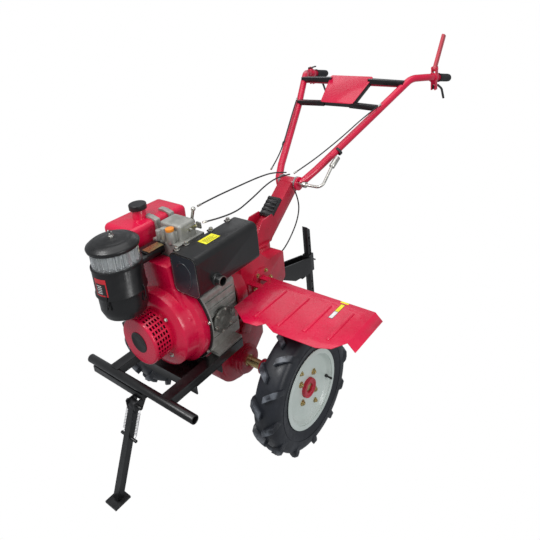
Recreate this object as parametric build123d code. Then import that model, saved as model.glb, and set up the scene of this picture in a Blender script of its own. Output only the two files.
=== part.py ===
from build123d import *
from math import cos, pi, radians, sin, sqrt, tan
import os

# Two-wheel diesel tiller (walking tractor).
# Millimetres, +Z up, ground at Z = 0.  While it is drawn, Y = 0 is the wheel axle:
# -Y is the front (bumper and engine), +Y is the rear (handlebars), +X is the operator's left.
# On export everything is moved so that the origin is the bottom centre of the whole machine.

# ---------------------------------------------------------------- driving dimensions
RUN = 0.05                  # radial clearance of a shaft that turns in its bore
SLIP = 0.3                  # clearance between parts of different bodies that only pass each other
WALL = 3.0                  # sheet metal and tube wall

# wheels, 4.00-10 agricultural tyres on one hexagonal live axle
TYRE_R = 236.0              # over the lugs
TYRE_W = 100.0
LUG_H = 17.0
LUG_COUNT = 12              # pairs of lugs round one tyre
WHEEL_X = 378.0             # left tyre's mid-plane
RIGHT_WHEEL_X = -262.0      # the right wheel is the same assembly, set closer in on the axle
RIM_SEAT_R = 126.0
RIM_FLANGE_R = 140.0
RIM_HALF_W = 44.0
RIM_T = 3.5
DISC_INSET = 20.0           # wheel disc outward of the tyre's mid-plane
HEX_AF = 32.0               # axle hexagon across flats
HUB_R = 25.0                # hub sleeve
HUB_FLANGE_R = 72.0
HUB_RING_R = 35.0           # raised end of the hub, seen in the middle of the disc
HUB_INNER_X = 203.0         # where the hub sleeve starts
WHEEL_BOLT_PCD = 108.0
WHEEL_BOLT_COUNT = 4
AXLE_Z = TYRE_R

# frame
RAIL_X = 132.0
RAIL_W = 40.0
RAIL_H = 32.0
RAIL_TOP = 362.0
RAIL_REAR_Y = -34.0
RAIL_T = 5.0
BUMPER_Y = -389.0
BUMPER_R = 15.0
BUMPER_HALF = 265.0
CROSSBAR_X0 = -242.0        # bar under the bumper, longer on the right
CROSSBAR_X1 = 26.0
CROSSBAR_SIZE = 24.0
CROSSBAR_Y = -389.0

# front stand
STAND_PIVOT_Y = -418.0
STAND_PIVOT_Z = 294.0
STAND_FOOT_Y = -548.0
STAND_W = 24.0
STAND_EAR_GAP = 32.0

# engine
CRANK_Z = 496.0
CRANK_R = 17.0
CASE_HALF_X = 112.0
CASE_FRONT_Y = -172.0
CASE_REAR_Y = -2.0
CASE_TOP_Z = 590.0
FAN_HOUSING_R = 158.0
FAN_HOUSING_FRONT_Y = -283.0
DRUM_R = 84.0               # recoil starter drum
DRUM_FRONT_Y = -353.0
CYL_X = -8.0
CYL_Y = -120.0
CYL_HALF = 64.0
HEAD_Z = 722.0
COVER_Z = 775.0
COVER_TOP_Z = 832.0
MUFFLER_X0 = 66.0
MUFFLER_X1 = 182.0
MUFFLER_Y0 = -222.0
MUFFLER_Y1 = 76.0
MUFFLER_Z0 = 641.0
MUFFLER_Z1 = 783.0
CLEANER_X = -40.0
CLEANER_Y = -348.0
CLEANER_R = 79.0
CLEANER_Z0 = 596.0
CLEANER_TOP = 874.0
TANK_X0 = -245.0
TANK_X1 = -92.0
TANK_Y0 = -248.0
TANK_Y1 = 12.0
TANK_Z0 = 738.0
TANK_Z1 = 824.0
TANK_CAP_X = -158.0
TANK_CAP_Y = -150.0

# transmission
BELL_R = 128.0
BELL_REAR_Y = 46.0
GEARBOX_HALF_X = 106.0
GEARBOX_REAR_Y = 300.0
GEARBOX_TOP_Z = 548.0
FINAL_R = 104.0             # round lower case about the axle
FINAL_HALF_X = 96.0
BEARING_R = 50.0
BEARING_X = 140.0           # outer face of the axle bearing housings
GEAR_MODULE = 4.0
AXLE_TEETH = 36
PINION_TEETH = 14
GEAR_W = 34.0

# fenders
FENDER_Z = 520.0
FENDER_X0 = 165.0
FENDER_X1 = 592.0
FENDER_REAR_Y = 144.0
FENDER_FRONT_Y = -110.0
FENDER_LIP = 26.0

# steering column and handlebars
COLUMN_W = 62.0                   # across X
COLUMN_D = 58.0                   # fore and aft
PIVOT_Y = 519.0
PIVOT_Z = 742.0
BAR_R = 16.0
GRIP_R = 17.5
GRIP_LEN = 118.0
TUBE_WALL = 2.0

# cables
CABLE_R = 2.8


# ---------------------------------------------------------------- helpers
def box(x0, x1, y0, y1, z0, z1):
    """Box between two corners."""
    return Pos((x0 + x1) / 2, (y0 + y1) / 2, (z0 + z1) / 2) * Box(x1 - x0, y1 - y0, z1 - z0)


def rod(start, end, radius):
    """Round bar between two points."""
    start, end = Vector(*start), Vector(*end)
    along = Plane(origin=start, z_dir=end - start)
    return along * Cylinder(radius, (end - start).length, align=(Align.CENTER, Align.CENTER, Align.MIN))


def x_disc(x0, x1, y, z, radius):
    """Disc or round bar along X."""
    return rod((x0, y, z), (x1, y, z), radius)


def y_disc(y0, y1, x, z, radius):
    """Disc or round bar along Y."""
    return rod((x, y0, z), (x, y1, z), radius)


def z_disc(z0, z1, x, y, radius):
    """Disc or round bar along Z."""
    return rod((x, y, z0), (x, y, z1), radius)


def side_plate(points, x0, x1):
    """A (y, z) outline extruded along X."""
    return extrude(Plane.YZ.offset(x0) * Polygon(*points, align=None), x1 - x0, dir=(1, 0, 0))


def plan_plate(points, z0, z1):
    """An (x, y) outline extruded along Z."""
    return extrude(Plane.XY.offset(z0) * Polygon(*points, align=None), z1 - z0, dir=(0, 0, 1))


def front_plate(points, y0, y1):
    """An (x, z) outline extruded along Y."""
    return extrude(Plane.XZ.offset(-y0) * Polygon(*points, align=None), y1 - y0, dir=(0, 1, 0))


def turned(points, x=0.0, y=0.0, z=AXLE_Z):
    """An (x, radius) outline turned about an axis along X."""
    return Pos(x, y, z) * revolve(make_face(Polyline(*points, close=True)), Axis.X)


def upright(points, x, y, z=0.0):
    """A (radius, z) outline turned about a vertical axis."""
    outline = Plane.XZ * make_face(Polyline(*points, close=True))
    return Pos(x, y, z) * revolve(outline, Axis.Z)


def bar(start, end, width, height, up=(0, 0, 1)):
    """Rectangular bar; width is across the bar, height along the up direction."""
    start, end = Vector(*start), Vector(*end)
    along = end - start
    across = along.cross(Vector(*up)).normalized()
    frame = Plane(origin=start, x_dir=across, z_dir=along)
    return frame * Box(width, height, along.length, align=(Align.CENTER, Align.CENTER, Align.MIN))


def tube(points, radii, radius, wall=0.0):
    """Round tube along straight runs joined by tangent arcs."""
    path = FilletPolyline(*points, radius=radii) if len(points) > 2 else Line(*points)
    section = Circle(radius) - Circle(radius - wall) if wall else Circle(radius)
    return sweep(Plane(origin=path @ 0, z_dir=path % 0) * section, path=path)


def cord(points, radius):
    """Solid cable along straight runs; each arc is as large as its two runs allow."""
    spots = [Vector(*p) for p in points]
    radii = []
    for before, here, after in zip(spots, spots[1:], spots[2:]):
        first, second = here - before, after - here
        turn = radians(first.get_angle(second))
        radii.append(0.45 * min(first.length, second.length) / tan(turn / 2))
    return tube(points, radii, radius)


def rounded(shape, radius, axis=None):
    """Shape with its edges along one axis, or all of them, rounded."""
    edges = shape.edges().filter_by(axis) if axis else shape.edges()
    return fillet(edges, radius)


def mirrored(shape):
    """The same piece on the other side of the machine."""
    return mirror(shape, about=Plane.YZ)


def hex_bar(x0, x1, across_flats, y=0.0, z=AXLE_Z):
    """Hexagonal bar along X, one flat on top."""
    outline = RegularPolygon(across_flats / sqrt(3), 6)
    return Pos(0, y, z) * extrude(Plane.YZ.offset(x0) * outline, x1 - x0, dir=(1, 0, 0))


def gear(teeth, width, first_angle):
    """Spur gear about X with its first tooth at first_angle in the YZ plane."""
    pitch_r = GEAR_MODULE * teeth / 2
    step = 2 * pi / teeth
    outline = []
    for i in range(teeth):
        middle = radians(first_angle) + i * step
        for offset, r in ((-0.33, -1.15), (-0.10, 0.85), (0.10, 0.85), (0.33, -1.15)):
            angle, reach = middle + offset * step, pitch_r + r * GEAR_MODULE
            outline.append((reach * cos(angle), reach * sin(angle)))
    return side_plate(outline, -width / 2, width / 2)


# ---------------------------------------------------------------- frame
def rail(side):
    """Rectangular tube, coped round the back of the bumper tube."""
    x = side * RAIL_X
    z0 = RAIL_TOP - RAIL_H
    body = box(x - RAIL_W / 2, x + RAIL_W / 2, BUMPER_Y, RAIL_REAR_Y, z0, RAIL_TOP)
    body -= box(x - RAIL_W / 2 + RAIL_T, x + RAIL_W / 2 - RAIL_T, BUMPER_Y - 1, RAIL_REAR_Y + 1,
                z0 + RAIL_T, RAIL_TOP - RAIL_T)
    return body - x_disc(-BUMPER_HALF, BUMPER_HALF, BUMPER_Y, BUMPER_Z, BUMPER_R)


BUMPER_Z = RAIL_TOP - RAIL_H / 2
BUMPER_WALL = 4.0
front_bumper = (x_disc(-BUMPER_HALF, BUMPER_HALF, BUMPER_Y, BUMPER_Z, BUMPER_R)
                - x_disc(-BUMPER_HALF - 1, BUMPER_HALF + 1, BUMPER_Y, BUMPER_Z, BUMPER_R - BUMPER_WALL))

# crossbar under the bumper tube; two ears hang from it and hold the stand's pivot bolt
CROSSBAR_TOP = RAIL_TOP - RAIL_H
CROSSBAR_Z0 = CROSSBAR_TOP - CROSSBAR_SIZE
EAR_T = 5.0
PIVOT_R = 6.0
ear_outline = [(CROSSBAR_Y - 12, CROSSBAR_Z0 + 6), (CROSSBAR_Y + 12, CROSSBAR_Z0 + 6),
               (STAND_PIVOT_Y + 16, STAND_PIVOT_Z - 16), (STAND_PIVOT_Y - 16, STAND_PIVOT_Z - 16),
               (STAND_PIVOT_Y - 16, CROSSBAR_Z0 + 6)]
stand_crossbar = box(CROSSBAR_X0, CROSSBAR_X1, CROSSBAR_Y - CROSSBAR_SIZE / 2,
                     CROSSBAR_Y + CROSSBAR_SIZE / 2, CROSSBAR_Z0, CROSSBAR_TOP)
for s in (-1, 1):
    inner = s * STAND_EAR_GAP / 2
    stand_crossbar += side_plate(ear_outline, min(inner, inner + s * EAR_T), max(inner, inner + s * EAR_T))
SPRING_X = 30.0
STAND_BOLT_HALF = SPRING_X + 7
stand_crossbar += x_disc(-STAND_BOLT_HALF, STAND_BOLT_HALF, STAND_PIVOT_Y, STAND_PIVOT_Z, PIVOT_R)

# channel under the engine, welded to the undersides of both rails
BED_Y0, BED_Y1, BED_DROP = -276.0, -150.0, 34.0
engine_bed = box(-RAIL_X - RAIL_W / 2, RAIL_X + RAIL_W / 2, BED_Y0, BED_Y1, CROSSBAR_TOP - BED_DROP,
                 CROSSBAR_TOP)
engine_bed -= box(-RAIL_X - RAIL_W, RAIL_X + RAIL_W, BED_Y0 + 5, BED_Y1 - 5,
                  CROSSBAR_TOP - BED_DROP - 1, CROSSBAR_TOP - 5)

# ---------------------------------------------------------------- front stand
LEG_FOOT = (0, STAND_FOOT_Y, 9.0)
front_stand = bar((0, STAND_PIVOT_Y, STAND_PIVOT_Z), LEG_FOOT, STAND_W, STAND_W, (0, 1, 0))
front_stand += x_disc(-STAND_EAR_GAP / 2 + SLIP, STAND_EAR_GAP / 2 - SLIP, STAND_PIVOT_Y, STAND_PIVOT_Z, 15)
front_stand += box(-28, 28, STAND_FOOT_Y - 32, STAND_FOOT_Y + 28, 0, 7)
COLLAR_AT = 0.34
COLLAR_Y = STAND_PIVOT_Y + COLLAR_AT * (STAND_FOOT_Y - STAND_PIVOT_Y)
COLLAR_Z = STAND_PIVOT_Z * (1 - COLLAR_AT)
front_stand += x_disc(-SPRING_X - 8, SPRING_X + 8, COLLAR_Y, COLLAR_Z, 5)
front_stand -= x_disc(-50, 50, STAND_PIVOT_Y, STAND_PIVOT_Z, PIVOT_R + RUN)

# two return springs from the pivot bolt's ends to the bolt through the leg
SPRING_R = 4.5
stand_springs = Part()
for s in (-1, 1):
    top = Vector(s * SPRING_X, STAND_PIVOT_Y, STAND_PIVOT_Z)
    low = Vector(s * SPRING_X, COLLAR_Y, COLLAR_Z)
    reach = (low - top).normalized()
    stand_springs += rod(top + reach * (PIVOT_R + 1), low - reach * 6, SPRING_R)

# ---------------------------------------------------------------- engine
# crankcase: hollow casting on the rails, with a round back plate for the blower housing
CASE_WALL = 9.0
PLATE_R = FAN_HOUSING_R + 5
PLATE_T = 8.0
FOOT_T = 12.0
FOOT_X = RAIL_X + RAIL_W / 2 - 4
crankcase = box(-CASE_HALF_X, CASE_HALF_X, CASE_FRONT_Y, CASE_REAR_Y, RAIL_TOP, CASE_TOP_Z)
crankcase = rounded(crankcase, 14, Axis.Y)
crankcase += box(-FOOT_X, FOOT_X, CASE_FRONT_Y + 20, CASE_REAR_Y - 30, RAIL_TOP, RAIL_TOP + FOOT_T)
back_plate = y_disc(CASE_FRONT_Y - PLATE_T, CASE_FRONT_Y, 0, CRANK_Z, PLATE_R)
back_plate -= box(-PLATE_R, PLATE_R, CASE_FRONT_Y - 20, CASE_FRONT_Y + 1, 0, RAIL_TOP)
back_plate -= box(MUFFLER_X0 - 2, PLATE_R, CASE_FRONT_Y - 20, CASE_FRONT_Y + 1, MUFFLER_Z0 - 1, 800)
crankcase += back_plate
for i in range(6):
    rib_z = RAIL_TOP + 44 + i * 30
    crankcase += box(CASE_HALF_X - 2, CASE_HALF_X + 7, CASE_FRONT_Y + 12, CASE_REAR_Y - 10, rib_z,
                     rib_z + 7)
crankcase -= box(-CASE_HALF_X + CASE_WALL, CASE_HALF_X - CASE_WALL, CASE_FRONT_Y + CASE_WALL,
                 CASE_REAR_Y - CASE_WALL, RAIL_TOP + CASE_WALL, CASE_TOP_Z - CASE_WALL)
crankcase -= y_disc(CASE_FRONT_Y - 30, CASE_REAR_Y + 10, 0, CRANK_Z, CRANK_R + RUN)

# cylinder barrel and head: a core with cooling fins, square to the crankcase
barrel = box(CYL_X - 46, CYL_X + 46, CYL_Y - 46, CYL_Y + 46, CASE_TOP_Z, HEAD_Z)
cylinder = rounded(barrel, 18, Axis.Z)
FIN_COUNT, FIN_T = 9, 4.0
for i in range(FIN_COUNT):
    fin_z = CASE_TOP_Z + 8 + i * (HEAD_Z - CASE_TOP_Z - 16) / (FIN_COUNT - 1)
    fin = box(CYL_X - CYL_HALF, CYL_X + CYL_HALF, CYL_Y - CYL_HALF + 14, CYL_Y + CYL_HALF, fin_z,
              fin_z + FIN_T)
    cylinder += rounded(fin, 12, Axis.Z)
cylinder += box(CYL_X - CYL_HALF, CYL_X + CYL_HALF, CYL_Y - CYL_HALF + 10, CYL_Y + CYL_HALF, HEAD_Z,
                COVER_Z)
cylinder -= z_disc(CASE_TOP_Z - 1, HEAD_Z, CYL_X, CYL_Y, 39)

# rocker cover, hollow, with the oil filler boss at its front corner
OIL_X, OIL_Y, OIL_TOP = CYL_X + 22, CYL_Y - 52, COVER_TOP_Z - 14
COVER_HALF, COVER_REAR = 50.0, 46.0
rocker_cover = box(CYL_X - COVER_HALF, CYL_X + COVER_HALF, CYL_Y - 28, CYL_Y + COVER_REAR, COVER_Z,
                   COVER_TOP_Z)
rocker_cover = fillet(rocker_cover.edges().filter_by(Axis.Z) + rocker_cover.faces().sort_by(Axis.Z)[-1].edges(), 10)
rocker_cover -= box(CYL_X - COVER_HALF + 5, CYL_X + COVER_HALF - 5, CYL_Y - 23, CYL_Y + COVER_REAR - 5,
                    COVER_Z - 1, COVER_TOP_Z - 5)
for boss_x, boss_r, boss_top in ((OIL_X, 15, OIL_TOP), (OIL_X - 32, 11, OIL_TOP + 4),
                                 (OIL_X - 56, 12, OIL_TOP - 8)):
    boss = z_disc(COVER_Z, boss_top, boss_x, OIL_Y + 6, boss_r)
    rocker_cover += boss + box(boss_x - boss_r + 4, boss_x + boss_r - 4, OIL_Y + 6, CYL_Y - 22, COVER_Z,
                               boss_top - 6)
FILLER_R = 9.0
rocker_cover -= z_disc(OIL_TOP - 16, OIL_TOP + 6, OIL_X, OIL_Y + 6, FILLER_R)

# orange oil filler cap: a ribbed head over a plug that turns in the boss
oil_cap = z_disc(OIL_TOP + SLIP, OIL_TOP + 10, OIL_X, OIL_Y + 6, 14.5)
oil_cap += z_disc(OIL_TOP - 14, OIL_TOP + 1, OIL_X, OIL_Y + 6, FILLER_R - RUN)

# blower housing: stepped red shroud round the flywheel, with a duct up to the cylinder
STEP_R = FAN_HOUSING_R - 22
STEP_Y = CASE_FRONT_Y - PLATE_T - 42
SHELL_REAR = CASE_FRONT_Y - PLATE_T
DUCT_TOP = 726.0


def blower_solid(inset):
    """The shroud's outer shape, or its hollow when inset by the sheet's thickness."""
    drum_back = FAN_HOUSING_FRONT_Y + inset
    outline = [(drum_back, 0), (drum_back, DRUM_R + 22 - inset), (drum_back + 14, STEP_R - inset),
               (STEP_Y, STEP_R - inset + 6), (STEP_Y + 10, FAN_HOUSING_R - inset),
               (SHELL_REAR, FAN_HOUSING_R - inset),
               (SHELL_REAR, 0)]
    face = make_face(Polyline(*[(r, y) for y, r in outline], close=True))
    shell = Pos(0, 0, CRANK_Z) * revolve(Plane.XY * face, Axis.Y)
    duct = [(-122 + inset, CRANK_Z + 60), (-84 + inset, 650), (-76 + inset, DUCT_TOP - inset),
            (56 - inset, DUCT_TOP - inset), (64 - inset, 650), (128 - inset, CRANK_Z + 60)]
    front = STEP_Y - 14 + inset
    shell += front_plate(duct, front, SHELL_REAR)
    return shell


blower_housing = blower_solid(0) - blower_solid(WALL)
blower_housing -= y_disc(FAN_HOUSING_FRONT_Y - 5, FAN_HOUSING_FRONT_Y + 10, 0, CRANK_Z, DRUM_R - 8)

# recoil starter drum: a cup with rows of air slots in its side wall
recoil_drum = y_disc(DRUM_FRONT_Y, FAN_HOUSING_FRONT_Y, 0, CRANK_Z, DRUM_R)
recoil_drum = fillet(recoil_drum.edges().sort_by(Axis.Y)[0], 7)
recoil_drum -= y_disc(DRUM_FRONT_Y + WALL, FAN_HOUSING_FRONT_Y + 1, 0, CRANK_Z, DRUM_R - WALL)
SLOT_ROWS, SLOTS_ROUND = 5, 30
for row in range(SLOT_ROWS):
    slot_y = DRUM_FRONT_Y + 14 + row * 11
    cutters = Part()
    for i in range(SLOTS_ROUND):
        turn = 360 * i / SLOTS_ROUND
        if 165 < turn < 215:
            continue            # the rope guide leaves this stretch of the wall whole
        cutters += Pos(0, slot_y, CRANK_Z) * Rot(0, -turn, 0) * Pos(DRUM_R, 0, 0) * Box(12, 7, 11)
    recoil_drum -= cutters

# the starter's pull handle sits on the drum's right side, and is pulled straight out
PULL_ANGLE = radians(190)
PULL_Y = DRUM_FRONT_Y + 34
PULL_DIR = (cos(PULL_ANGLE), 0, sin(PULL_ANGLE))
pull_at = Vector((DRUM_R + 14) * PULL_DIR[0], PULL_Y, CRANK_Z + (DRUM_R + 14) * PULL_DIR[2])
guide_end = Vector(DRUM_R * PULL_DIR[0] * 0.98, PULL_Y, CRANK_Z + DRUM_R * PULL_DIR[2] * 0.98)
recoil_drum += rod(guide_end, pull_at, 9) - y_disc(DRUM_FRONT_Y + WALL, FAN_HOUSING_FRONT_Y, 0, CRANK_Z,
                                                   DRUM_R - WALL)
recoil_drum -= rod(guide_end - Vector(*PULL_DIR) * 12, pull_at + Vector(*PULL_DIR), 3.5)
grip_across = Vector(PULL_DIR[2], 0, -PULL_DIR[0])
grip_at = pull_at + Vector(*PULL_DIR) * 14
recoil_handle = rod(grip_at - grip_across * 34, grip_at + grip_across * 34, 9)
recoil_handle += rod(pull_at + Vector(*PULL_DIR) * SLIP, grip_at, 8)
recoil_handle += rod(pull_at - Vector(*PULL_DIR) * 30, grip_at, 2.5)

# crankshaft with its throw, and the flywheel with fan blades
THROW = 30.0
crankshaft = y_disc(FAN_HOUSING_FRONT_Y + 20, BELL_REAR_Y - 14, 0, CRANK_Z, CRANK_R)
crankshaft -= box(-30, 30, CYL_Y - 14, CYL_Y + 14, CRANK_Z - 30, CRANK_Z + 30)
for web_y in (CYL_Y - 26, CYL_Y + 14):
    crankshaft += y_disc(web_y, web_y + 12, 0, CRANK_Z - 8, 52)
crankshaft += y_disc(CYL_Y - 26, CYL_Y + 26, 0, CRANK_Z + THROW, 20)
FAN_R = STEP_R - WALL - 8
FAN_Y0, FAN_Y1 = FAN_HOUSING_FRONT_Y + 22, SHELL_REAR - 6
flywheel = y_disc(FAN_Y0 + 26, FAN_Y1, 0, CRANK_Z, FAN_R)
for i in range(18):
    blade = Pos(FAN_R - 26, FAN_Y0 + 14, 0) * Rot(0, 25, 0) * Box(34, 28, 3)
    flywheel += Pos(0, 0, CRANK_Z) * Rot(0, i * 20, 0) * blade
flywheel -= y_disc(FAN_Y0 - 5, FAN_Y1 + 5, 0, CRANK_Z, CRANK_R)

# muffler: a long box with rounded corners, its outlet stub and the pipe from the head
muffler = rounded(box(MUFFLER_X0, MUFFLER_X1, MUFFLER_Y0, MUFFLER_Y1, MUFFLER_Z0, MUFFLER_Z1), 22, Axis.Y)
muffler = fillet(muffler.edges().group_by(Axis.Y)[0] + muffler.edges().group_by(Axis.Y)[-1], 4)
muffler -= rounded(box(MUFFLER_X0 + WALL, MUFFLER_X1 - WALL, MUFFLER_Y0 + WALL, MUFFLER_Y1 - WALL,
                       MUFFLER_Z0 + WALL, MUFFLER_Z1 - WALL), 19, Axis.Y)
STUB_Y, STUB_Z, STUB_R, STUB_LEN = -145.0, 676.0, 16.0, 28.0
muffler += (x_disc(MUFFLER_X1 - 2, MUFFLER_X1 + STUB_LEN, STUB_Y, STUB_Z, STUB_R)
            - x_disc(MUFFLER_X1 - 3, MUFFLER_X1 + STUB_LEN + 1, STUB_Y, STUB_Z, STUB_R - 2))
muffler -= x_disc(MUFFLER_X1 - WALL - 1, MUFFLER_X1 + 1, STUB_Y, STUB_Z, STUB_R - 2)
PORT_Z = HEAD_Z + 22
muffler += x_disc(CYL_X + CYL_HALF, MUFFLER_X0 + 1, CYL_Y, PORT_Z, 20)

# oil-bath air cleaner: canister, clear pre-cleaner bowl, domed lid with its wing nut
BOWL_Z0 = CLEANER_TOP - 90
SEAM_Z = CLEANER_Z0 + 92
LID_Z0 = CLEANER_TOP - 30
canister = [(0, CLEANER_Z0), (CLEANER_R - 34, CLEANER_Z0), (CLEANER_R - 12, CLEANER_Z0 + 12),
            (CLEANER_R - 3, CLEANER_Z0 + 36), (CLEANER_R - 2, SEAM_Z - 4), (CLEANER_R + 3, SEAM_Z),
            (CLEANER_R + 3, SEAM_Z + 5), (CLEANER_R, SEAM_Z + 9), (CLEANER_R, BOWL_Z0), (0, BOWL_Z0)]
air_cleaner_body = upright(canister, CLEANER_X, CLEANER_Y)
air_cleaner_body -= z_disc(CLEANER_Z0 + 40, BOWL_Z0 - WALL, CLEANER_X, CLEANER_Y, CLEANER_R - 6)
BOWL_R = CLEANER_R - 4
precleaner_bowl = z_disc(BOWL_Z0, LID_Z0, CLEANER_X, CLEANER_Y, BOWL_R)
precleaner_bowl -= z_disc(BOWL_Z0 - 1, LID_Z0 + 1, CLEANER_X, CLEANER_Y, BOWL_R - 4)
for i in range(20):
    vane = Pos(BOWL_R - 8, 0, 0) * Rot(0, 0, 40) * Box(14, 1.6, LID_Z0 - BOWL_Z0)
    precleaner_bowl += Pos(CLEANER_X, CLEANER_Y, (BOWL_Z0 + LID_Z0) / 2) * Rot(0, 0, i * 18) * vane
STUD_R = 4.0
lid_shape = [(STUD_R, LID_Z0), (CLEANER_R - 2, LID_Z0), (CLEANER_R - 1, LID_Z0 + 6),
             (CLEANER_R - 7, LID_Z0 + 14),
             (CLEANER_R - 30, LID_Z0 + 23), (STUD_R + 12, LID_Z0 + 26), (STUD_R, LID_Z0 + 26)]
air_cleaner_lid = upright(lid_shape, CLEANER_X, CLEANER_Y)
air_cleaner_body += z_disc(BOWL_Z0 - 2, LID_Z0 + 44, CLEANER_X, CLEANER_Y, STUD_R)
air_cleaner_lid += z_disc(LID_Z0 + 26, LID_Z0 + 34, CLEANER_X, CLEANER_Y, 8) - z_disc(
    LID_Z0, LID_Z0 + 50, CLEANER_X, CLEANER_Y, STUD_R)
for s in (-1, 1):
    air_cleaner_lid += Pos(CLEANER_X + s * 11, CLEANER_Y, LID_Z0 + 38) * Rot(0, s * 28, 0) * Box(5, 3, 17)

# inlet elbow from the canister's upper side back to the head, on its bracket plate
ELBOW_Z = COVER_Z - 26
ELBOW_R = 22.0
intake_elbow = y_disc(CLEANER_Y + CLEANER_R - 2, CYL_Y - CYL_HALF + 10, CLEANER_X, ELBOW_Z, ELBOW_R)
intake_elbow += box(CLEANER_X - 20, CLEANER_X + 34, CLEANER_Y + CLEANER_R + 12, CYL_Y - CYL_HALF + 6,
                    ELBOW_Z + ELBOW_R - 3,
                    ELBOW_Z + ELBOW_R + 2)
intake_elbow -= z_disc(CLEANER_Z0, LID_Z0, CLEANER_X, CLEANER_Y, CLEANER_R)

# fuel tank beside the head, with its cap and the two cast straps
fuel_tank = fillet(box(TANK_X0, TANK_X1, TANK_Y0, TANK_Y1, TANK_Z0, TANK_Z1).edges(), 20)
NECK = 34.0
fuel_tank += z_disc(TANK_Z1 - 10, TANK_Z1 + NECK, TANK_CAP_X, TANK_CAP_Y, 24)
inner_tank = fillet(box(TANK_X0 + 2, TANK_X1 - 2, TANK_Y0 + 2, TANK_Y1 - 2, TANK_Z0 + 2,
                        TANK_Z1 - 2).edges(), 18)
fuel_tank -= inner_tank + z_disc(TANK_Z1 - 12, TANK_Z1 + NECK + 1, TANK_CAP_X, TANK_CAP_Y, 20)
CAP_R = 31.0
fuel_cap = z_disc(TANK_Z1 + NECK + SLIP, TANK_Z1 + NECK + 20, TANK_CAP_X, TANK_CAP_Y, CAP_R)
fuel_cap = fillet(fuel_cap.edges().sort_by(Axis.Z)[-1], 4)
fuel_cap += z_disc(TANK_Z1 + NECK - 14, TANK_Z1 + NECK + 1, TANK_CAP_X, TANK_CAP_Y, 20 - RUN)

# two slotted straps reach from the head over the tank and hold it down
STRAP_W = 20.0
tank_straps = Part()
for strap_y in (CYL_Y - 22, CYL_Y + 42):
    outline = [(CYL_X - CYL_HALF, COVER_Z - 34), (CYL_X - CYL_HALF, COVER_Z - 8),
               (TANK_X1 + 8, TANK_Z1 + 1),
               (TANK_X1 - 24, TANK_Z1 + 9), (TANK_X1 - 50, TANK_Z1 + 9), (TANK_X1 - 50, TANK_Z1),
               (TANK_X1 - 22, TANK_Z1), (TANK_X1 + 0.5, TANK_Z1 - 12), (TANK_X1 + 0.5, TANK_Z0 - 24)]
    strap = front_plate(outline, strap_y, strap_y + STRAP_W)
    tank_straps += strap - fuel_tank.solids()[0] - box(TANK_X0, TANK_X1 - 1, -400, 100, TANK_Z0,
                                                       TANK_Z1 - 6)

# decompression lever on the head, with its red knob
DECO_X, DECO_Y, DECO_Z = CYL_X + 20, CYL_Y + COVER_REAR, COVER_TOP_Z - 22
decompression_lever = y_disc(DECO_Y + SLIP, DECO_Y + 14, DECO_X, DECO_Z, 11)
decompression_lever += bar((DECO_X, DECO_Y + 8, DECO_Z), (DECO_X + 16, DECO_Y + 8, DECO_Z + 44), 9, 6,
                           (0, 1, 0))
decompression_lever += Pos(DECO_X + 18, DECO_Y + 8, DECO_Z + 50) * Sphere(8)
DECO_PIN_R = 4.0
decompression_lever -= y_disc(DECO_Y - 5, DECO_Y + 30, DECO_X, DECO_Z, DECO_PIN_R + RUN)
rocker_cover += y_disc(DECO_Y - 6, DECO_Y + 18, DECO_X, DECO_Z, DECO_PIN_R)

# throttle arm on a pin in the head's +X side
ARM_Y, ARM_Z = CYL_Y + 16, COVER_Z + 30
ARM_X = CYL_X + COVER_HALF
THROTTLE_PIN_R = 4.0
throttle_arm = box(ARM_X + SLIP, ARM_X + 4, ARM_Y - 8, ARM_Y + 34, ARM_Z - 8, ARM_Z + 8)
throttle_arm += box(ARM_X + SLIP, ARM_X + 22, ARM_Y + 28, ARM_Y + 34, ARM_Z - 8, ARM_Z + 14)
throttle_arm -= x_disc(ARM_X - 5, ARM_X + 30, ARM_Y, ARM_Z, THROTTLE_PIN_R + RUN)
rocker_cover += x_disc(ARM_X - 6, ARM_X + 10, ARM_Y, ARM_Z, THROTTLE_PIN_R)

# ---------------------------------------------------------------- transmission
SHAFT_R = 14.0
clutch_housing = y_disc(CASE_REAR_Y, BELL_REAR_Y, 0, CRANK_Z, BELL_R)
clutch_housing -= y_disc(CASE_REAR_Y - 1, BELL_REAR_Y - 5, 0, CRANK_Z, BELL_R - 10)
clutch_housing -= y_disc(CASE_REAR_Y, BELL_REAR_Y + 1, 0, CRANK_Z, 30)

# gearbox: one casting on the rails behind the clutch, hollow
gearbox_outline = [(BELL_REAR_Y, 380), (BELL_REAR_Y, 604), (90, 616), (158, 604), (206, GEARBOX_TOP_Z + 2),
                   (GEARBOX_REAR_Y, GEARBOX_TOP_Z), (GEARBOX_REAR_Y, 430), (244, 378), (186, RAIL_TOP),
                   (60, RAIL_TOP)]
gearbox_case = rounded(side_plate(gearbox_outline, -GEARBOX_HALF_X, GEARBOX_HALF_X), 12, Axis.X)
GEARBOX_T = 7.0
hollow = [(BELL_REAR_Y + GEARBOX_T, 390), (BELL_REAR_Y + GEARBOX_T, 596), (154, 596),
          (202, GEARBOX_TOP_Z - GEARBOX_T),
          (GEARBOX_REAR_Y - GEARBOX_T, GEARBOX_TOP_Z - GEARBOX_T), (GEARBOX_REAR_Y - GEARBOX_T, 434),
          (239, 386), (182, RAIL_TOP + GEARBOX_T), (68, RAIL_TOP + GEARBOX_T)]
gearbox_case -= side_plate(hollow, -GEARBOX_HALF_X + GEARBOX_T, GEARBOX_HALF_X - GEARBOX_T)
SEAT_Z = GEARBOX_TOP_Z + 14
SWIVEL_R = 52.0
SWIVEL_AT = 268.0
gearbox_case += z_disc(GEARBOX_TOP_Z - 6, SEAT_Z, 0, SWIVEL_AT, SWIVEL_R)
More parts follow.
